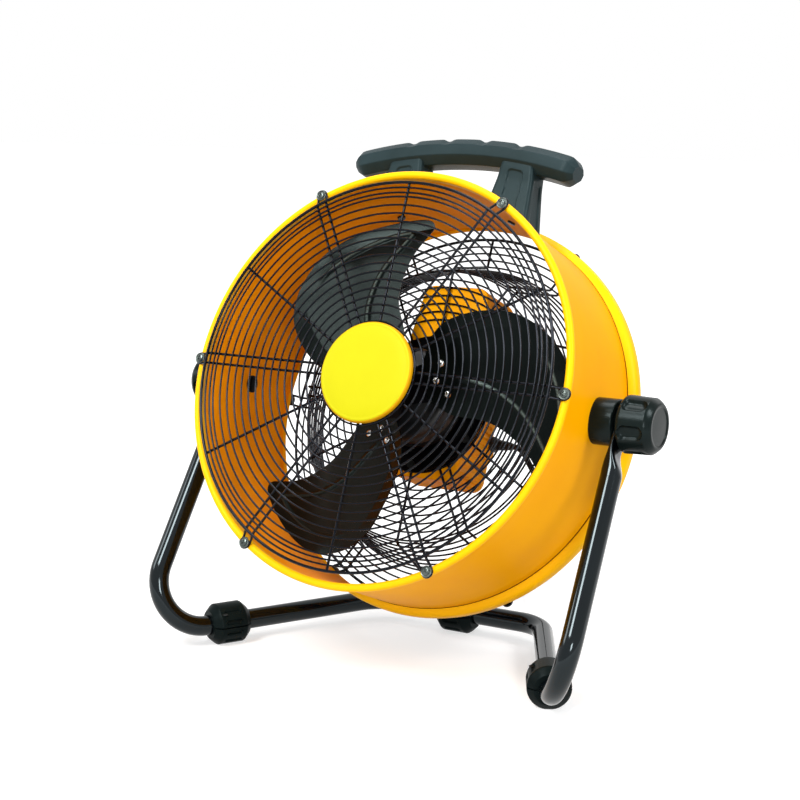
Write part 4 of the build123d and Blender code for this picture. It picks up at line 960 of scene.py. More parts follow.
def smooth_line(knots, count):
    """Points along a smooth curve through knots, one knot a row."""
    knots = np.array(knots, float)
    ghost = np.vstack([2 * knots[0] - knots[1], knots, 2 * knots[-1] - knots[-2]])
    spots = np.linspace(0, len(knots) - 1, count)
    k = np.minimum(spots.astype(int), len(knots) - 2)
    t = (spots - k)[:, None]
    a, b, c, d = ghost[k], ghost[k + 1], ghost[k + 2], ghost[k + 3]
    curved = (2 * a - 5 * b + 4 * c - d) * t**2 + (3 * b - a - 3 * c + d) * t**3
    return 0.5 * (2 * b + (c - a) * t + curved)


def in_flat(radius, degrees):
    """A place in the blade's own flat from polar measures about the fan axis."""
    angle = np.radians(degrees)
    return np.stack([radius * np.cos(angle), radius * np.sin(angle) / math.cos(PITCH)], -1)


def camber_rise(y):
    """How far the curved sheet stands off its flat."""
    return CAMBER - np.sqrt(CAMBER**2 - (y - CAMBER_MIDDLE) ** 2)


print("blade tips", round(2 * TIP, 1), "mm across")

# %% [markdown]
# Two pressed ridges stiffen the sheet and run to the swept tip. A ridge is a height added to every
# point near its line. The rim outside the tip ridge curls to the front, and along the outer flank
# of both ridges runs the painted highlight line. All of this needs two measures of a point: how far
# it lies from the line, and on which side.

# %% Ridges, curl and painted highlight lines
RIDGE_STEPS = 60


def ridge_line(knots):
    return smooth_line(in_flat(*np.array(knots, float).T), RIDGE_STEPS)


def ridge_height(flat, knots, height, half_width):
    """A ridge with straight flanks along the knots, fading in at its first end."""
    gap = np.linalg.norm(flat[..., None, :] - ridge_line(knots), axis=-1)
    fade = smooth_step(gap.argmin(-1), 0, 14)
    return height * fade * np.interp(gap.min(-1) / half_width, (0, 0.15, 0.9, 1), (1, 0.95, 0.05, 0))


def beyond_ridge(flat, knots):
    """How far each point lies outside the line of a ridge, how far off, and where along it."""
    path = ridge_line(knots)
    steps = np.gradient(path, axis=0)
    outward = np.stack([-steps[:, 1], steps[:, 0]], 1) / np.linalg.norm(steps, axis=1)[:, None]
    nearest = np.linalg.norm(flat[..., None, :] - path, axis=-1).argmin(-1)
    away = flat - path[nearest]
    return (away * outward[nearest]).sum(-1), np.linalg.norm(away, axis=-1), nearest


def tip_curl(flat, knots, slope):
    """The rim outside the tip ridge rises to the front, as a pressed edge does."""
    side, _, nearest = beyond_ridge(flat, knots)
    return slope * np.maximum(side - 1, 0) * smooth_step(nearest, 0, 20)


def painted_highlight_line(flat, knots, step_out=0.9, width=1.25):
    """A painted highlight line on a ridge's outer flank, 0 to 1, that starts a little way along it."""
    side, away, nearest = beyond_ridge(flat, knots)
    off_line = np.hypot(side - step_out, np.sqrt(np.maximum(away**2 - side**2, 0)))
    return np.exp(-((off_line / width) ** 2)) * smooth_step(nearest, 8, 17)


print("the main ridge is", round(length_of(ridge_line(MAIN_RIDGE))), "mm long")

# %% [markdown]
# The sheet's points form one grid, closer together near both edges. Their heights are the sum of
# the sheet's curve, the ridges, the curl and a crease along the leading edge. The sheet needs two
# skins and an edge between them. The two skins share one outline, so the edge is one more strip
# that runs round the rim of both.


# %% The sheet of a blade
def skinned(front, back):
    """Two grids of the same shape, and the strip that closes them all round."""
    rows, columns = front.shape[:2]
    index = np.arange(rows * columns).reshape(rows, columns)
    rim = [*index[0], *index[1:, -1], *index[-1, -2::-1], *index[-2:0:-1, 0]]
    strip = [[a, b, b + rows * columns, a + rows * columns] for a, b in zip(rim, rim[1:] + rim[:1])]
    points, faces = joined(grid(front), grid(back))
    return points, faces + strip


edge = smooth_line(EDGE, 130)
radius, trailing, leading = edge[:, 0:1], edge[:, 1:2], edge[:, 2:3]
even = np.linspace(0, 1, 140)
share = 0.7 * even + 0.3 * (0.5 - 0.5 * np.cos(math.pi * even))
degrees = trailing + (leading - trailing) * share
flat = in_flat(np.broadcast_to(radius, degrees.shape), degrees)
from_lead = np.radians(leading - degrees) * radius
crease = smooth_step(radius, 56, 78) * (1 - smooth_step(radius, 142, 176))
height = camber_rise(flat[..., 1]) + tip_curl(flat, TIP_RIDGE, 0.2)
height = height + ridge_height(flat, MAIN_RIDGE, 1.7, 3.7) + ridge_height(flat, TIP_RIDGE, 1.6, 3.4)
height = height + 0.16 * np.maximum(0, 21 - from_lead) * crease
front_skin, back_skin = [np.concatenate([flat, (height + up)[..., None]], -1) for up in (SHEET, 0)]
sheet_blade = skinned(front_skin, back_skin)
print("a blade has", len(sheet_blade[0]), "points")

# %% [markdown]
# The three blades are the same sheet, set round the hub. The painted highlight line is written to
# the front skin of each mesh as the value that the finish reads. The lowest blade gets hardly any
# painted highlight.


# %% Blades
def blade_place(degrees_round):
    """Where a blade's flat lies: X out along its root, Y along its chord, Z to the front."""
    return (
        Matrix.Rotation(-math.radians(degrees_round), 4, "Y")
        @ Matrix.Translation((0, FAN_DEPTH, 0))
        @ Matrix.Rotation(math.radians(90) + PITCH, 4, "X")
    )


ROOTS = [17.2 + 120 * k for k in range(3)]
HIGHLIGHT_SHARES = (1, 1, 0.12)  # how far each blade's ridges get the painted highlight
highlight_values = np.maximum(painted_highlight_line(flat, MAIN_RIDGE), painted_highlight_line(flat, TIP_RIDGE)).ravel()
for number, (degrees_round, highlight_share) in enumerate(zip(ROOTS, HIGHLIGHT_SHARES), 1):
    blade = piece(
        f"fan_blade_{number}", moved(sheet_blade, blade_place(degrees_round)), "fan", fan_black,
        ON_DRUM, (f"blade_{number}",), sharp=50,
    )
    marks = blade.data.attributes.new("painted_ridge_highlight", "FLOAT", "POINT")
    marks.data.foreach_set("value", np.concatenate([highlight_share * highlight_values, 0 * highlight_values]))
print("blades at", ROOTS, "degrees")

# %% [markdown]
# Three bright rivets hold each blade to an arm of the hub. They catch the light, so they are
# turned with a proper dome, and each leans with the sheet that it stands on.

# %% Rivets
RIVET_PLACES = ((49, 0), (62, -16), (62, 16))  # distance from the axis, degrees past the root
dome = [(0, 2.2), (1.6, 2.05), (3, 1.6), (4, 0.8), (4.4, 0.1), (4.4, -0.3), (2.5, -0.3)]
tail = [(2.5, -4.4), (4.2, -4.4), (4.2, -5), (3, -5.8), (0, -6.2)]
rivet = swapped(turned(dome + tail, 32))
rivets = []
for degrees_round in ROOTS:
    for radius, around in RIVET_PLACES:
        x, y = in_flat(radius, around)
        lean = math.asin((y - CAMBER_MIDDLE) / CAMBER)
        spot = Matrix.Translation((x, y, camber_rise(y) + SHEET)) @ Matrix.Rotation(lean, 4, "X")
        rivets.append(moved(rivet, blade_place(degrees_round) @ spot))
piece("fan_rivets", joined(*rivets), "fan", bright_steel, ON_DRUM, ("blade_rivets",))
print("rivets", len(rivets))

# %% [markdown]
# ## Control box
# The switch box stands in the well of the rear guard. Seen from behind it is an upright box with
# round corners that narrows at the top and swells where the cord leaves. Its outline is measured
# as a distance in each direction from one inner point, which makes the swelling easy: the longer
# of the two distances wins.

# %% The box's outline
BOX_CORNERS = [(-42, -88), (57, -88), (57, 86), (50, 146), (-34, 146), (-42, 86)]
BOX_CORNER_RADIUS, BOX_MIDDLE = 14, np.array((5.0, 0.0))
SWELL_MIDDLE, SWELL_RADIUS = np.array((35.0, -34.0)), 27


def rounded_box():
    """The box's corners rounded off, as points in order round its middle."""
    path = []
    for k, corner in enumerate(BOX_CORNERS):
        before = np.array(BOX_CORNERS[k - 1], float)
        after = np.array(BOX_CORNERS[(k + 1) % len(BOX_CORNERS)], float)
        ends = [(before + corner) / 2, corner, (after + corner) / 2]
        path += list(bent(ends, [BOX_CORNER_RADIUS], 8)[1:-1])
    path = np.array(path)
    around = np.arctan2(*(path - BOX_MIDDLE).T[::-1])
    order = np.argsort(around)
    return path[order], around[order]


def box_ring(count=360):
    """The outline as (x, z) points, with the outward direction at each."""
    path, around = rounded_box()
    angle = np.linspace(-math.pi, math.pi, count, endpoint=False)
    tips = np.concatenate([path[-1:], path, path[:1]])
    knots = np.concatenate([around[-1:] - 2 * math.pi, around, around[:1] + 2 * math.pi])
    k = np.clip(np.searchsorted(knots, angle) - 1, 0, len(knots) - 2)
    p, q = tips[k] - BOX_MIDDLE, tips[k + 1] - tips[k]
    ray = np.stack([np.cos(angle), np.sin(angle)], 1)
    body = (p[:, 0] * q[:, 1] - p[:, 1] * q[:, 0]) / (ray[:, 0] * q[:, 1] - ray[:, 1] * q[:, 0])
    centre = SWELL_MIDDLE - BOX_MIDDLE
    along = ray @ centre
    inside = SWELL_RADIUS**2 - (centre @ centre - along**2)
    swell = np.where(inside > 0, along + np.sqrt(np.maximum(inside, 0)), 0)
    outline = BOX_MIDDLE + ray * np.maximum(body, swell)[:, None]
    side = np.roll(outline, -1, 0) - np.roll(outline, 1, 0)
    outward = np.stack([side[:, 1], -side[:, 0]], 1)
    return outline, outward / np.linalg.norm(outward, axis=1)[:, None]


outline, outward = box_ring()
print("box", np.round(np.ptp(outline, axis=0), 1), "mm")

# %% [markdown]
# Fine ribs along the side walls stiffen the moulding. Their spacing is counted along the outline,
# so they stay even round the corners. The box is a stack of such outlines, drawn in where an edge
# is rounded, and its floor plate is a second, shorter stack.

# %% Switch box and its floor plate
RIB_PITCH, RIB_DEPTH = 8, 2
walked = np.cumsum(np.linalg.norm(np.roll(outline, -1, 0) - outline, axis=1))
ribs = smooth_step(0.5 - 0.5 * np.cos(2 * math.pi * walked / RIB_PITCH), 0.2, 0.6)


def box_section(depth, inset, ribbed=0.0):
    """The outline at one depth, drawn in by an inset, and further between the ribs."""
    spot = outline - outward * (inset + (1 - ribs)[:, None] * ribbed)
    return np.stack([spot[:, 0], np.full(len(spot), depth), spot[:, 1]], 1)


front_rim = [(27.3, 0), (27.8, 0), (31, 0)]
ribbed_walls = [(depth, 0.2, RIB_DEPTH) for depth in (32, 50, 70, 86)]
back_edge = [(87.5, 0.2), (92, 0), (95.6, 0.6), (97.4, 1.9), (98.1, 3.6), (98.25, 6)]
floor_plate = [(23.25, 1.5), (23.6, 0.5), (24.4, 0), (27.2, 0)]
for name, stack, node in (
    ("switch_box", front_rim + ribbed_walls + back_edge, "control_box"),
    ("switch_box_base", floor_plate, "control_box_base"),
):
    shape = capped_grid([box_section(*section) for section in stack])
    piece(name, shape, "drum", box_paint, ON_DRUM, (node,), sharp=40)
print("ribs every", RIB_PITCH, "mm round", round(float(walked[-1])), "mm")

# %% [markdown]
# ## Handle
# The grip is a bar of slate plastic that arches over the drum. It has a flat-sided section with
# big chamfers, four finger hollows along its top, and round ends. The section is carried along the
# arch, and it shrinks over the last stretch at each end.

# %% Grip bar
ARCH, BAR_HALF, HALF_DEEP, HALF_HIGH = 540.0, 149, 19.5, 16.0
BAR_Z = SHELL + 52 + HALF_HIGH
CHAMFER, END_BEVEL = 9.5, 9.0
HOLLOWS, HOLLOW_DEPTH, HOLLOW_HALF = (-71, -24, 24, 71), 2.9, 5.4


def chamfered_section(half_width, half_height, cut, soften=1.2):
    """A rectangle with its corners cut off, as points in order, with the cuts' edges softened."""
    corners = [(half_width, half_height - cut), (half_width - cut, half_height)]
    corners += [(-x, z) for x, z in reversed(corners)]
    corners += [(-x, -z) for x, z in corners]
    path = []
    for k, corner in enumerate(corners):
        before, after = corners[k - 1], corners[(k + 1) % len(corners)]
        ends = [(np.array(before) + corner) / 2, corner, (np.array(after) + corner) / 2]
        path += list(bent(ends, [soften * 2], 4)[:-1])
    return np.array(path)


def arch_drop(x):
    return ARCH - np.sqrt(ARCH**2 - np.asarray(x, float) ** 2)


section = chamfered_section(HALF_DEEP, HALF_HIGH, CHAMFER)
end_steps = np.array([0, 0.25, 0.5, 0.75, 1, 1.6, 2.4]) * END_BEVEL / 1.6
middle_steps = np.linspace(-BAR_HALF + 16, BAR_HALF - 16, 260)
spots = np.concatenate([-BAR_HALF + end_steps, middle_steps, BAR_HALF - end_steps[::-1]])
rows = []
for x in spots:
    to_end = BAR_HALF - abs(x)
    inset = END_BEVEL * (1 - smooth_step(to_end / END_BEVEL, -0.9, 1.25)) * 1.35
    y, z = section[:, 0] * (1 - inset / HALF_DEEP), section[:, 1] * (1 - inset / HALF_HIGH)
    hollow = sum(math.exp(-abs((x - spot) / HOLLOW_HALF) ** 2.4) for spot in HOLLOWS)
    z = z - HOLLOW_DEPTH * hollow * smooth_step(z, 2, HALF_HIGH - 2)
    slope = x / math.sqrt(ARCH**2 - x**2)
    rows.append(np.stack([x + z * slope, y, BAR_Z - arch_drop(x) + z * math.sqrt(1 - slope**2)], 1))
grip_bar = capped_grid(rows)
print("grip bar", 2 * BAR_HALF, "mm long")

# %% [markdown]
# Two posts carry the bar. Each is wide at the drum and narrow at the bar, flares into it, and has
# a sunk panel front and back and a flute down each side. Its lower end follows the round wall of
# the drum, so it meets it without a gap. Panels and flutes are pressed into the post's own grid, so
# the points are close together along its sides.


# %% Posts
POST_X, INTO_BAR = 76, 9


def rounded_walk(wide, deep, corner, along_wide, along_deep):
    """Points round a rectangle with round corners, close enough together to press panels into."""
    walk = []
    bends = round_corners(wide, deep, corner, 7)
    for k, (bend, steps) in enumerate(zip(bends, (along_wide, along_deep) * 2)):
        last, following = np.array(bend[-1]), np.array(bends[(k + 1) % 4][0])
        walk += bend
        walk += [tuple(last + (following - last) * step / steps) for step in range(1, steps)]
    return np.array(walk)


def post(middle):
    """A flared post from the drum wall up into the bar, with a sunk panel front and back."""
    rows = []
    for t in np.linspace(0, 1, 76):
        flare = smooth_step(t, 0.62, 0.95) * 5
        wide, deep = 58 - 15 * t, 46 - 18 * t**0.85 + flare
        xy = rounded_walk(wide, deep, corner=4.5, along_wide=44, along_deep=20)
        across, depth = np.abs(xy[:, 0]), np.abs(xy[:, 1])
        away = across / 10.2
        top = 0.84 - 0.05 * np.clip(away, 0, 1) ** 6
        panel = (1 - smooth_step(away, 0.94, 1.06)) * (1 - smooth_step(t, top - 0.018, top + 0.018))
        panel = panel * smooth_step(depth, deep / 2 - 1, deep / 2 - 0.4)
        side = smooth_step(across, wide / 2 - 1, wide / 2 - 0.4)
        flute = side * (1 - smooth_step(depth / deep, 0.22, 0.27)) * (1 - smooth_step(t, 0.7, 0.78))
        xy[:, 1] -= np.sign(xy[:, 1]) * 1.9 * panel
        xy[:, 0] -= np.sign(xy[:, 0]) * 1.4 * flute
        x = middle + xy[:, 0]
        foot = np.sqrt(SHELL**2 - x**2)
        head = BAR_Z - arch_drop(x) - HALF_HIGH + INTO_BAR
        rows.append(np.stack([x, xy[:, 1], foot + (head - foot) * t], 1))
    return grid(np.array(rows), around=True)


grip = joined(grip_bar, post(-POST_X), post(POST_X))
piece("carry_handle", grip, "drum", slate_plastic, ON_DRUM, ("handle",), sharp=26)
print("handle", len(grip[0]), "points")

# %% [markdown]
# ## Tilt pivots
# On each side a round boss stands between the drum and the stand's flattened lug, and a bolt runs
# through both. Boss and bolt are turned about the tilt axis. The foot of the boss is then pushed
# on to the round wall of the drum, which isn't flat there. Left and right are mirror copies, so one
# function sets both down.


# %% Bosses and bolts
def both_sides(name, part, body, finish, node, sharp):
    """A right-hand piece and its mirror copy; names and bodies say their side first."""
    for side, half in (("right", part), ("left", mirrored(part))):
        rides_on = body if body == "drum" else f"{side}_{body}"
        piece(
            f"{side}_{name}", half, rides_on, finish, ON_AXIS, (f"{side}_{node}",),
            sharp=sharp,
        )


BOSS_FOOT, BOSS_END = SHELL - 2, SHELL + 26
boss_outline = [(5.4, BOSS_FOOT), (22, BOSS_FOOT), (26.4, BOSS_FOOT), (26.4, SHELL)]
boss_outline += arc((24.9, BOSS_END - 1.5), 1.5, 0, 90, 4) + [(5.4, BOSS_END)]
points, faces = turned_across(boss_outline, 120)
on_wall = points[:, 0] < SHELL + 1
wall_x = np.sqrt(SHELL**2 - (points[on_wall, 2] - AXIS_DROP) ** 2)
points[on_wall, 0] += wall_x - 0.2 - BOSS_FOOT
both_sides("boss", (points, faces), "drum", knob_plastic, "pivot_spacer", 34)

bolt_outline = [(0, 230.6), (3.5, 230.7), (6.2, 231.1), (7.9, 231.8), (8.5, 232.9), (5, 232.9)]
bolt = turned_across(bolt_outline + [(5, 296), (0, 296)], 48)
both_sides("tilt_bolt", bolt, "drum", hub_black, "pivot_bolt", 50)
print("bosses", BOSS_END - SHELL, "mm long")

# %% [markdown]
# A big knob outside each lug clamps the drum. It has six oval finger scoops: a turned surface
# whose radius is pulled in wherever an oval falls on it. Its face is dished inside a raised ring.


# %% Hand knobs
def hand_knob():
    """The knob, turned about the tilt axis with oval scoops in its side."""
    inner, outer = 267.1, 309.1
    rim = [(inner, 24), (inner, 27), (inner + 0.8, 28.6), (inner + 3.6, 31.6), (inner + 5, 32.4)]
    rim += [(x, 32.5 - 0.035 * (x - inner - 5)) for x in np.linspace(inner + 6, outer - 7.4, 40)]
    rim += [(outer - 6.4, 31), (outer - 4.4, 29.6), (outer - 1.2, 26.6), (outer - 0.3, 25.4)]
    rim += [(outer, 24.4), (outer, 21.8), (outer - 0.4, 21.1), (outer - 1, 20.6)]
    rim += [(outer - 1, 19.6), (outer - 0.8, 10), (outer - 0.7, 0)]
    x, r = np.array(rim).T
    angle = np.linspace(0, 2 * math.pi, 264, endpoint=False)
    scoops, scoop_depth, knob_radius = 6, 4.6, 32
    oval_half, oval_straight, oval_middle = 8.4, 6.5, 286.5
    beyond = np.maximum(np.abs(x[None] - oval_middle) - oval_straight, 0) / oval_half
    scoop = np.zeros((len(angle), len(x)))
    for k in range(scoops):
        away = np.angle(np.exp(1j * (angle - math.radians(30 + 60 * k)))) * knob_radius
        oval = np.hypot(away[:, None] / oval_half, beyond)
        scoop = np.maximum(scoop, np.sqrt(np.maximum(0, 1 - oval**2)))
    deep = r[None] - scoop_depth * smooth_step(scoop, 0.0, 0.95)
    rows = [np.broadcast_to(x, deep.shape), deep * np.cos(angle)[:, None], deep * np.sin(angle)[:, None]]
    skin = grid(np.stack(rows, -1), closed=True)
    bore = [(24, inner), (6, inner), (5.1, inner + 1), (5.1, outer - 12), (0, outer - 12)]
    return joined(skin, turned_across(bore, 60))


both_sides("hand_knob", hand_knob(), "knob", knob_plastic, "knob", 30)
print("hand knobs made")

# %% [markdown]
# ## Stand
# One tube makes the whole stand: down one arm, round a bend at the front, back along the floor,
# across the rear, and the same way up again. Its line has two ends and four corners, and the left
# half is the right half mirrored.

# %% The stand's tube
TUBE, LEVEL, ARM_TOP_X = 12.0, FLOOR + 24, 266.0
FRONT_CORNER, REAR_CORNER = (277.3, -191.3), (115.3, 101.1)
LUG_REACH = 64  # from the eye to where the round tube starts
pin = np.array(Matrix.Rotation(-TILT, 3, "X") @ Vector((0, -AXIS_FRONT, -AXIS_DROP)))
arm_head = pin + (ARM_TOP_X, 0, 0)
arm = unit(np.array((*FRONT_CORNER, LEVEL)) - arm_head)
right_line = [arm_head + arm * LUG_REACH, (*FRONT_CORNER, LEVEL), (*REAR_CORNER, LEVEL)]
left_line = [(-x, y, z) for x, y, z in reversed(right_line)]
tube_line = bent([*right_line, *left_line], [54, 51, 51, 54], 22)
tube = wire(tube_line, TUBE, 40)
print("tube length", round(length_of(tube_line)), "mm")

# %% [markdown]
# The tube's two ends are pressed flat into lugs for the bolts. Each cross-section is drawn as a
# shape that changes from a circle to a flat slot along the arm. A superellipse does that with one
# number, its power: 2 is round and 6 is nearly square. Beyond the eye the slot narrows to a half
# circle.

# %% Lugs
EYE_RADIUS, LUG_HALF, LUG_MIDDLE, SECTION_POINTS = 15, 2.25, 264.55, 40


def lug():
    """The pressed end of the right arm: sections across the arm, from the round tube to the eye."""
    across = unit(np.cross(arm, (1.0, 0, 0)))
    outward_x = unit(np.cross(across, arm))
    angle = np.linspace(0, 2 * math.pi, SECTION_POINTS, endpoint=False)
    c, d = np.cos(angle), np.sin(angle)
    stations = [*np.linspace(66, 30, 22), 24, 16, 8, 0]
    stations += [-EYE_RADIUS * math.sin(math.radians(a)) for a in (12, 25, 40, 55, 68, 78, 85, 89)]
    rows = []
    for s in stations:
        flat_share = float(1 - smooth_step(s, 31, 66))
        thick = TUBE + (LUG_HALF - TUBE) * flat_share
        wide = TUBE + (EYE_RADIUS - TUBE) * flat_share
        if s < 0:
            wide = math.sqrt(max(0.01, EYE_RADIUS**2 - s**2))
        power = 2 + 4 * flat_share
        size = (np.abs(c) ** power + np.abs(d) ** power) ** (-1 / power)
        middle_x = LUG_MIDDLE + (ARM_TOP_X - LUG_MIDDLE) * (1 - flat_share)
        base = pin + (middle_x, 0, 0) + (arm - np.array((arm[0], 0, 0)) * flat_share) * s
        rows.append(base + (size * c * thick)[:, None] * outward_x + (size * d * wide)[:, None] * across)
    return capped_grid(rows)


right_lug = lug()
piece(
    "stand_frame", joined(tube, right_lug, mirrored(right_lug)), "stand", tube_gloss, ON_STAND,
    ("stand_tube",), sharp=40,
)
print("lugs", 2 * LUG_HALF, "mm thick")

# %% [markdown]
# ## Feet
# Each foot is a pair of moulded half shells that clasp the tube, with a parting line at mid
# height, ends that are chamfered down to a narrow ring round the tube, and long sunk slots round
# the middle. Top and bottom have no slots, and the bottom is flat, as it stands on the floor.

# %% One half of a foot
FOOT, FOOT_BORE, FOOT_HALF, SLOTS, SLOT_DEPTH = 25, 12.1, 24, 12, 2.4
PLAIN = (2, 3, 8, 9)  # slots that are left out, two at the top and two at the bottom


def foot_half(upper):
    """Half of a foot round a tube along X; the shell's radius is pulled in at the slots."""
    half = [*np.linspace(0, 15.4, 15), *np.linspace(16.6, 22, 5), 23.4, FOOT_HALF, FOOT_HALF]
    x = np.array([-v for v in reversed(half[1:])] + half)
    r = np.interp(np.abs(x), [0, 15.6, 16.4, 23, FOOT_HALF], [FOOT, FOOT, 24.6, 18.4, 17.2])
    r[[0, -1]] = FOOT_BORE
    angle = np.radians(np.linspace(*((2, 178) if upper else (182, 358)), 90))
    slots = np.zeros((len(x), len(angle)))
    for k in set(range(SLOTS)) - set(PLAIN):
        centre = math.radians(15 + 30 * k)
        away = np.abs(np.angle(np.exp(1j * (angle - centre)))) * FOOT
        slot = np.hypot(np.maximum(np.abs(x) - 8, 0)[:, None], away[None])
        slots = np.maximum(slots, 1 - smooth_step(slot, 2.2, 3.1))
    deep = r[:, None] - SLOT_DEPTH * slots
    y, z = deep * np.cos(angle), np.maximum(deep * np.sin(angle), FLOOR - LEVEL)
    outside = np.stack([np.broadcast_to(x[:, None], deep.shape), y, z], -1)
    inside = outside.copy()
    inside[..., 1], inside[..., 2] = FOOT_BORE * np.cos(angle), FOOT_BORE * np.sin(angle)
    return skinned(outside, inside)


upper_half, lower_half = foot_half(True), foot_half(False)
print("half a foot has", len(upper_half[0]), "points")

# %% [markdown]
# Two feet clasp the side tubes, about a third of the way back, and one clasps the rear tube. Each
# is turned to lie along its tube, and has two screws that go down into it, one on each side.

# %% Feet and their screws
FOOT_SHARE = 0.36  # how far back along the side tube
run_x, run_y = np.subtract(REAR_CORNER, FRONT_CORNER)
foot_x, foot_y = np.add(FRONT_CORNER, (run_x * FOOT_SHARE, run_y * FOOT_SHARE))
along = math.atan2(run_y, run_x)
foot_places = {
    "right": Matrix.Translation((foot_x, foot_y, LEVEL)) @ Matrix.Rotation(along, 4, "Z"),
    "left": Matrix.Translation((-foot_x, foot_y, LEVEL)) @ Matrix.Rotation(-along, 4, "Z"),
    "rear": Matrix.Translation((0, REAR_CORNER[1], LEVEL)),
}
heads = []
for side, place in foot_places.items():
    for half, name, node in ((upper_half, "top", "upper"), (lower_half, "base", "lower")):
        piece(
            f"{side}_foot_{name}", moved(half, place), "stand", foot_plastic, ON_STAND,
            (f"{side}_foot_{node}",), sharp=35,
        )
    for x, y in ((11, 18.5), (-11, -18.5)):
        heads.append(moved(screw_head(3.4, 1.4), place @ Matrix.Translation((x, y, 15.4))))
piece("foot_clamp_screws", joined(*heads), "stand", dark_steel, ON_STAND, ("foot_screws",))
print("feet", len(foot_places), "with", len(heads), "screws")

# %% [markdown]
# ## Pieces that keep their CAD shape
# Screws inside the housing, bearings, the rotor and the windings are hardly seen, and the hub and
# the speed knob are plain. Their CAD shape is right, so they only get a finish.

# %% Finishes for the CAD nodes
nodes_by_finish = {
    dark_steel: ("motor_plate_screws", "motor_bolts", "hub_nut", "handle_screws"),
    bright_steel: (
        "front_bearing", "rear_bearing", "motor_shaft", "control_box_screws", "run_capacitor",
    ),
    hub_black: (
        "motor_mounting_ring", "hub_spider", "speed_switch", "left_pivot_backing",
        "right_pivot_backing",
    ),
    laminations: ("motor_stator", "rotor_core"),
    copper: ("motor_windings",),
    knob_plastic: ("speed_knob",),
}
finished = set()
for finish, names in nodes_by_finish.items():
    for name in names:
        target = frame["nodes"][name]
        target.data.materials.clear()
        target.data.materials.append(finish)
        finished.add(name)
left_over = [n for n, o in frame["nodes"].items() if not o.hide_render and n not in finished]
print("nodes without a finish", left_over)

# %% [markdown]
# ## Floor and background
# A plain white studio. The camera should see white, but white light from all sides would wash the
# blacks out. So floor and world shine only for rays that see them directly: from the camera, in a
# reflection or through something clear. Light Path tells such rays apart, and both materials use
# the same three of its outputs.


# %% Rays that see the background
def seen_directly(nodes, links):
    """1 for rays from the camera, in gloss or through something clear, and 0 for all others."""
    rays = nodes.new("ShaderNodeLightPath")
    seen = rays.outputs["Is Camera Ray"]
    for kind in ("Is Glossy Ray", "Is Transmission Ray"):
        either = nodes.new("ShaderNodeMath")
        either.operation = "MAXIMUM"
        links.new(seen, either.inputs[0])
        links.new(rays.outputs[kind], either.inputs[1])
        seen = either.outputs[0]
    return seen


print("floor and world are bright to camera, gloss and transmission rays")

# %% [markdown]
# The floor is pale and takes the fan's shadow. Its glow is weaker round the fan, so that the shadow
# shows, and grows with distance until the floor is as white as the world behind it. Without that
# growth a grey line would mark the horizon.

# %% Floor
FLOOR_REACH, SHADOW_REACH, WHITE_REACH, SHADOW_GLOW = 12, 0.5, 1.5, 0.62
floor_mesh = bpy.data.meshes.new("studio_floor")
floor_corners = [(x * FLOOR_REACH, y * FLOOR_REACH, 0) for x, y in ((-1, -1), (1, -1), (1, 1), (-1, 1))]
floor_mesh.from_pydata(floor_corners, [], [[0, 1, 2, 3]])
studio_floor = bpy.data.objects.new("studio_floor", floor_mesh)
bpy.context.scene.collection.objects.link(studio_floor)
floor_paint = finish_of(
    "floor_paint", (188, 188, 188), (182, 182, 182), rough=(0.75, 0.85), clouds=0.6,
    Specular_IOR_Level=0.1,
)
nodes, links = floor_paint.node_tree.nodes, floor_paint.node_tree.links
spot = nodes.new("ShaderNodeTexCoord")
away = nodes.new("ShaderNodeVectorMath")
away.operation = "LENGTH"
links.new(spot.outputs["Object"], away.inputs[0])
fade = nodes.new("ShaderNodeMapRange")
for socket, value in (("From Min", SHADOW_REACH), ("From Max", WHITE_REACH), ("To Min", SHADOW_GLOW)):
    fade.inputs[socket].default_value = value
links.new(away.outputs["Value"], fade.inputs["Value"])
glow = nodes.new("ShaderNodeMath")
glow.operation = "MULTIPLY"
links.new(seen_directly(nodes, links), glow.inputs[0])
links.new(fade.outputs["Result"], glow.inputs[1])
shader = nodes["Principled BSDF"]
shader.inputs["Emission Color"].default_value = (1, 1, 1, 1)
links.new(glow.outputs[0], shader.inputs["Emission Strength"])
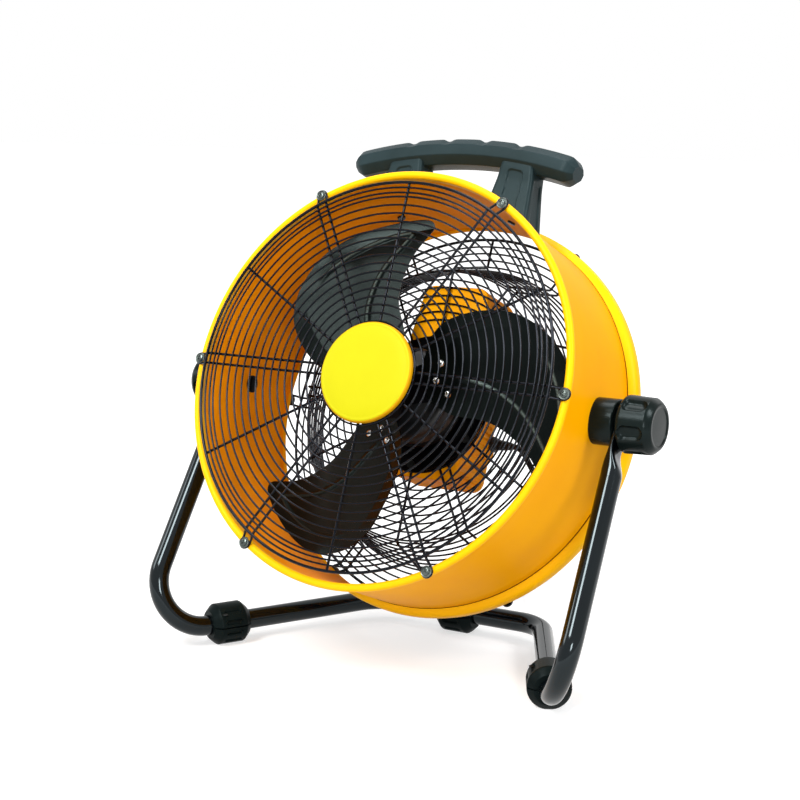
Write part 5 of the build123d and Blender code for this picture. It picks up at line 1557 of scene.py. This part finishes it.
floor_mesh.materials.append(floor_paint)
print("floor turns white from", SHADOW_REACH, "to", WHITE_REACH, "m")

# %% [markdown]
# The world is white where it is seen, and a quarter as bright where it only lights the fan.

# %% World
WORLD_LIGHT = 0.24
world = bpy.data.worlds.new("studio")
bpy.context.scene.world = world
world.use_nodes = True
nodes, links = world.node_tree.nodes, world.node_tree.links
backdrop = nodes["Background"]
backdrop.inputs["Color"].default_value = (1, 1, 1, 1)
strength = nodes.new("ShaderNodeMapRange")
strength.inputs["To Min"].default_value = WORLD_LIGHT
links.new(seen_directly(nodes, links), strength.inputs["Value"])
links.new(strength.outputs["Result"], backdrop.inputs["Strength"])
bpy.context.scene.view_settings.view_transform = "Standard"
print("world lights the fan with", WORLD_LIGHT, "of white")

# %% [markdown]
# ## Lamps
# Square soft boxes, as in a product studio. The front one is the strongest; the others lift the
# top, the sides and the back. A black piece shows a lamp only where it mirrors it, so where a lamp
# stands matters as much as how strong it is.


# %% Lamps
def soft_box(name, place, aim, width, watts):
    """A square lamp that looks at aim."""
    light = bpy.data.lights.new(name, "AREA")
    light.size, light.energy = width, watts
    holder = bpy.data.objects.new(name, light)
    holder.location = place
    holder.rotation_euler = (Vector(aim) - Vector(place)).to_track_quat("-Z", "Y").to_euler()
    bpy.context.scene.collection.objects.link(holder)


soft_box("front_box", (-0.33, -2.35, 2.5), (0, 0, 0.35), width=0.95, watts=84)
soft_box("crown_box", (-0.6, -1.2, 2.95), (0, 0, 0.4), width=0.9, watts=30)
soft_box("top_box", (-0.3, 0.5, 3.0), (0, 0, 0.3), width=1.2, watts=34)
soft_box("side_box", (2.6, -0.2, 2.4), (0, 0, 0.35), width=0.9, watts=60)
soft_box("low_box", (2.1, -2.7, 1.0), (0, 0, 0.3), width=0.7, watts=44)
soft_box("left_box", (-2.6, -1.6, 1.6), (0, 0, 0.35), width=0.9, watts=20)
soft_box("back_box", (0.6, 2.6, 2.2), (0, 0, 0.3), width=1.8, watts=14)
print("lamps", len(bpy.data.lights))
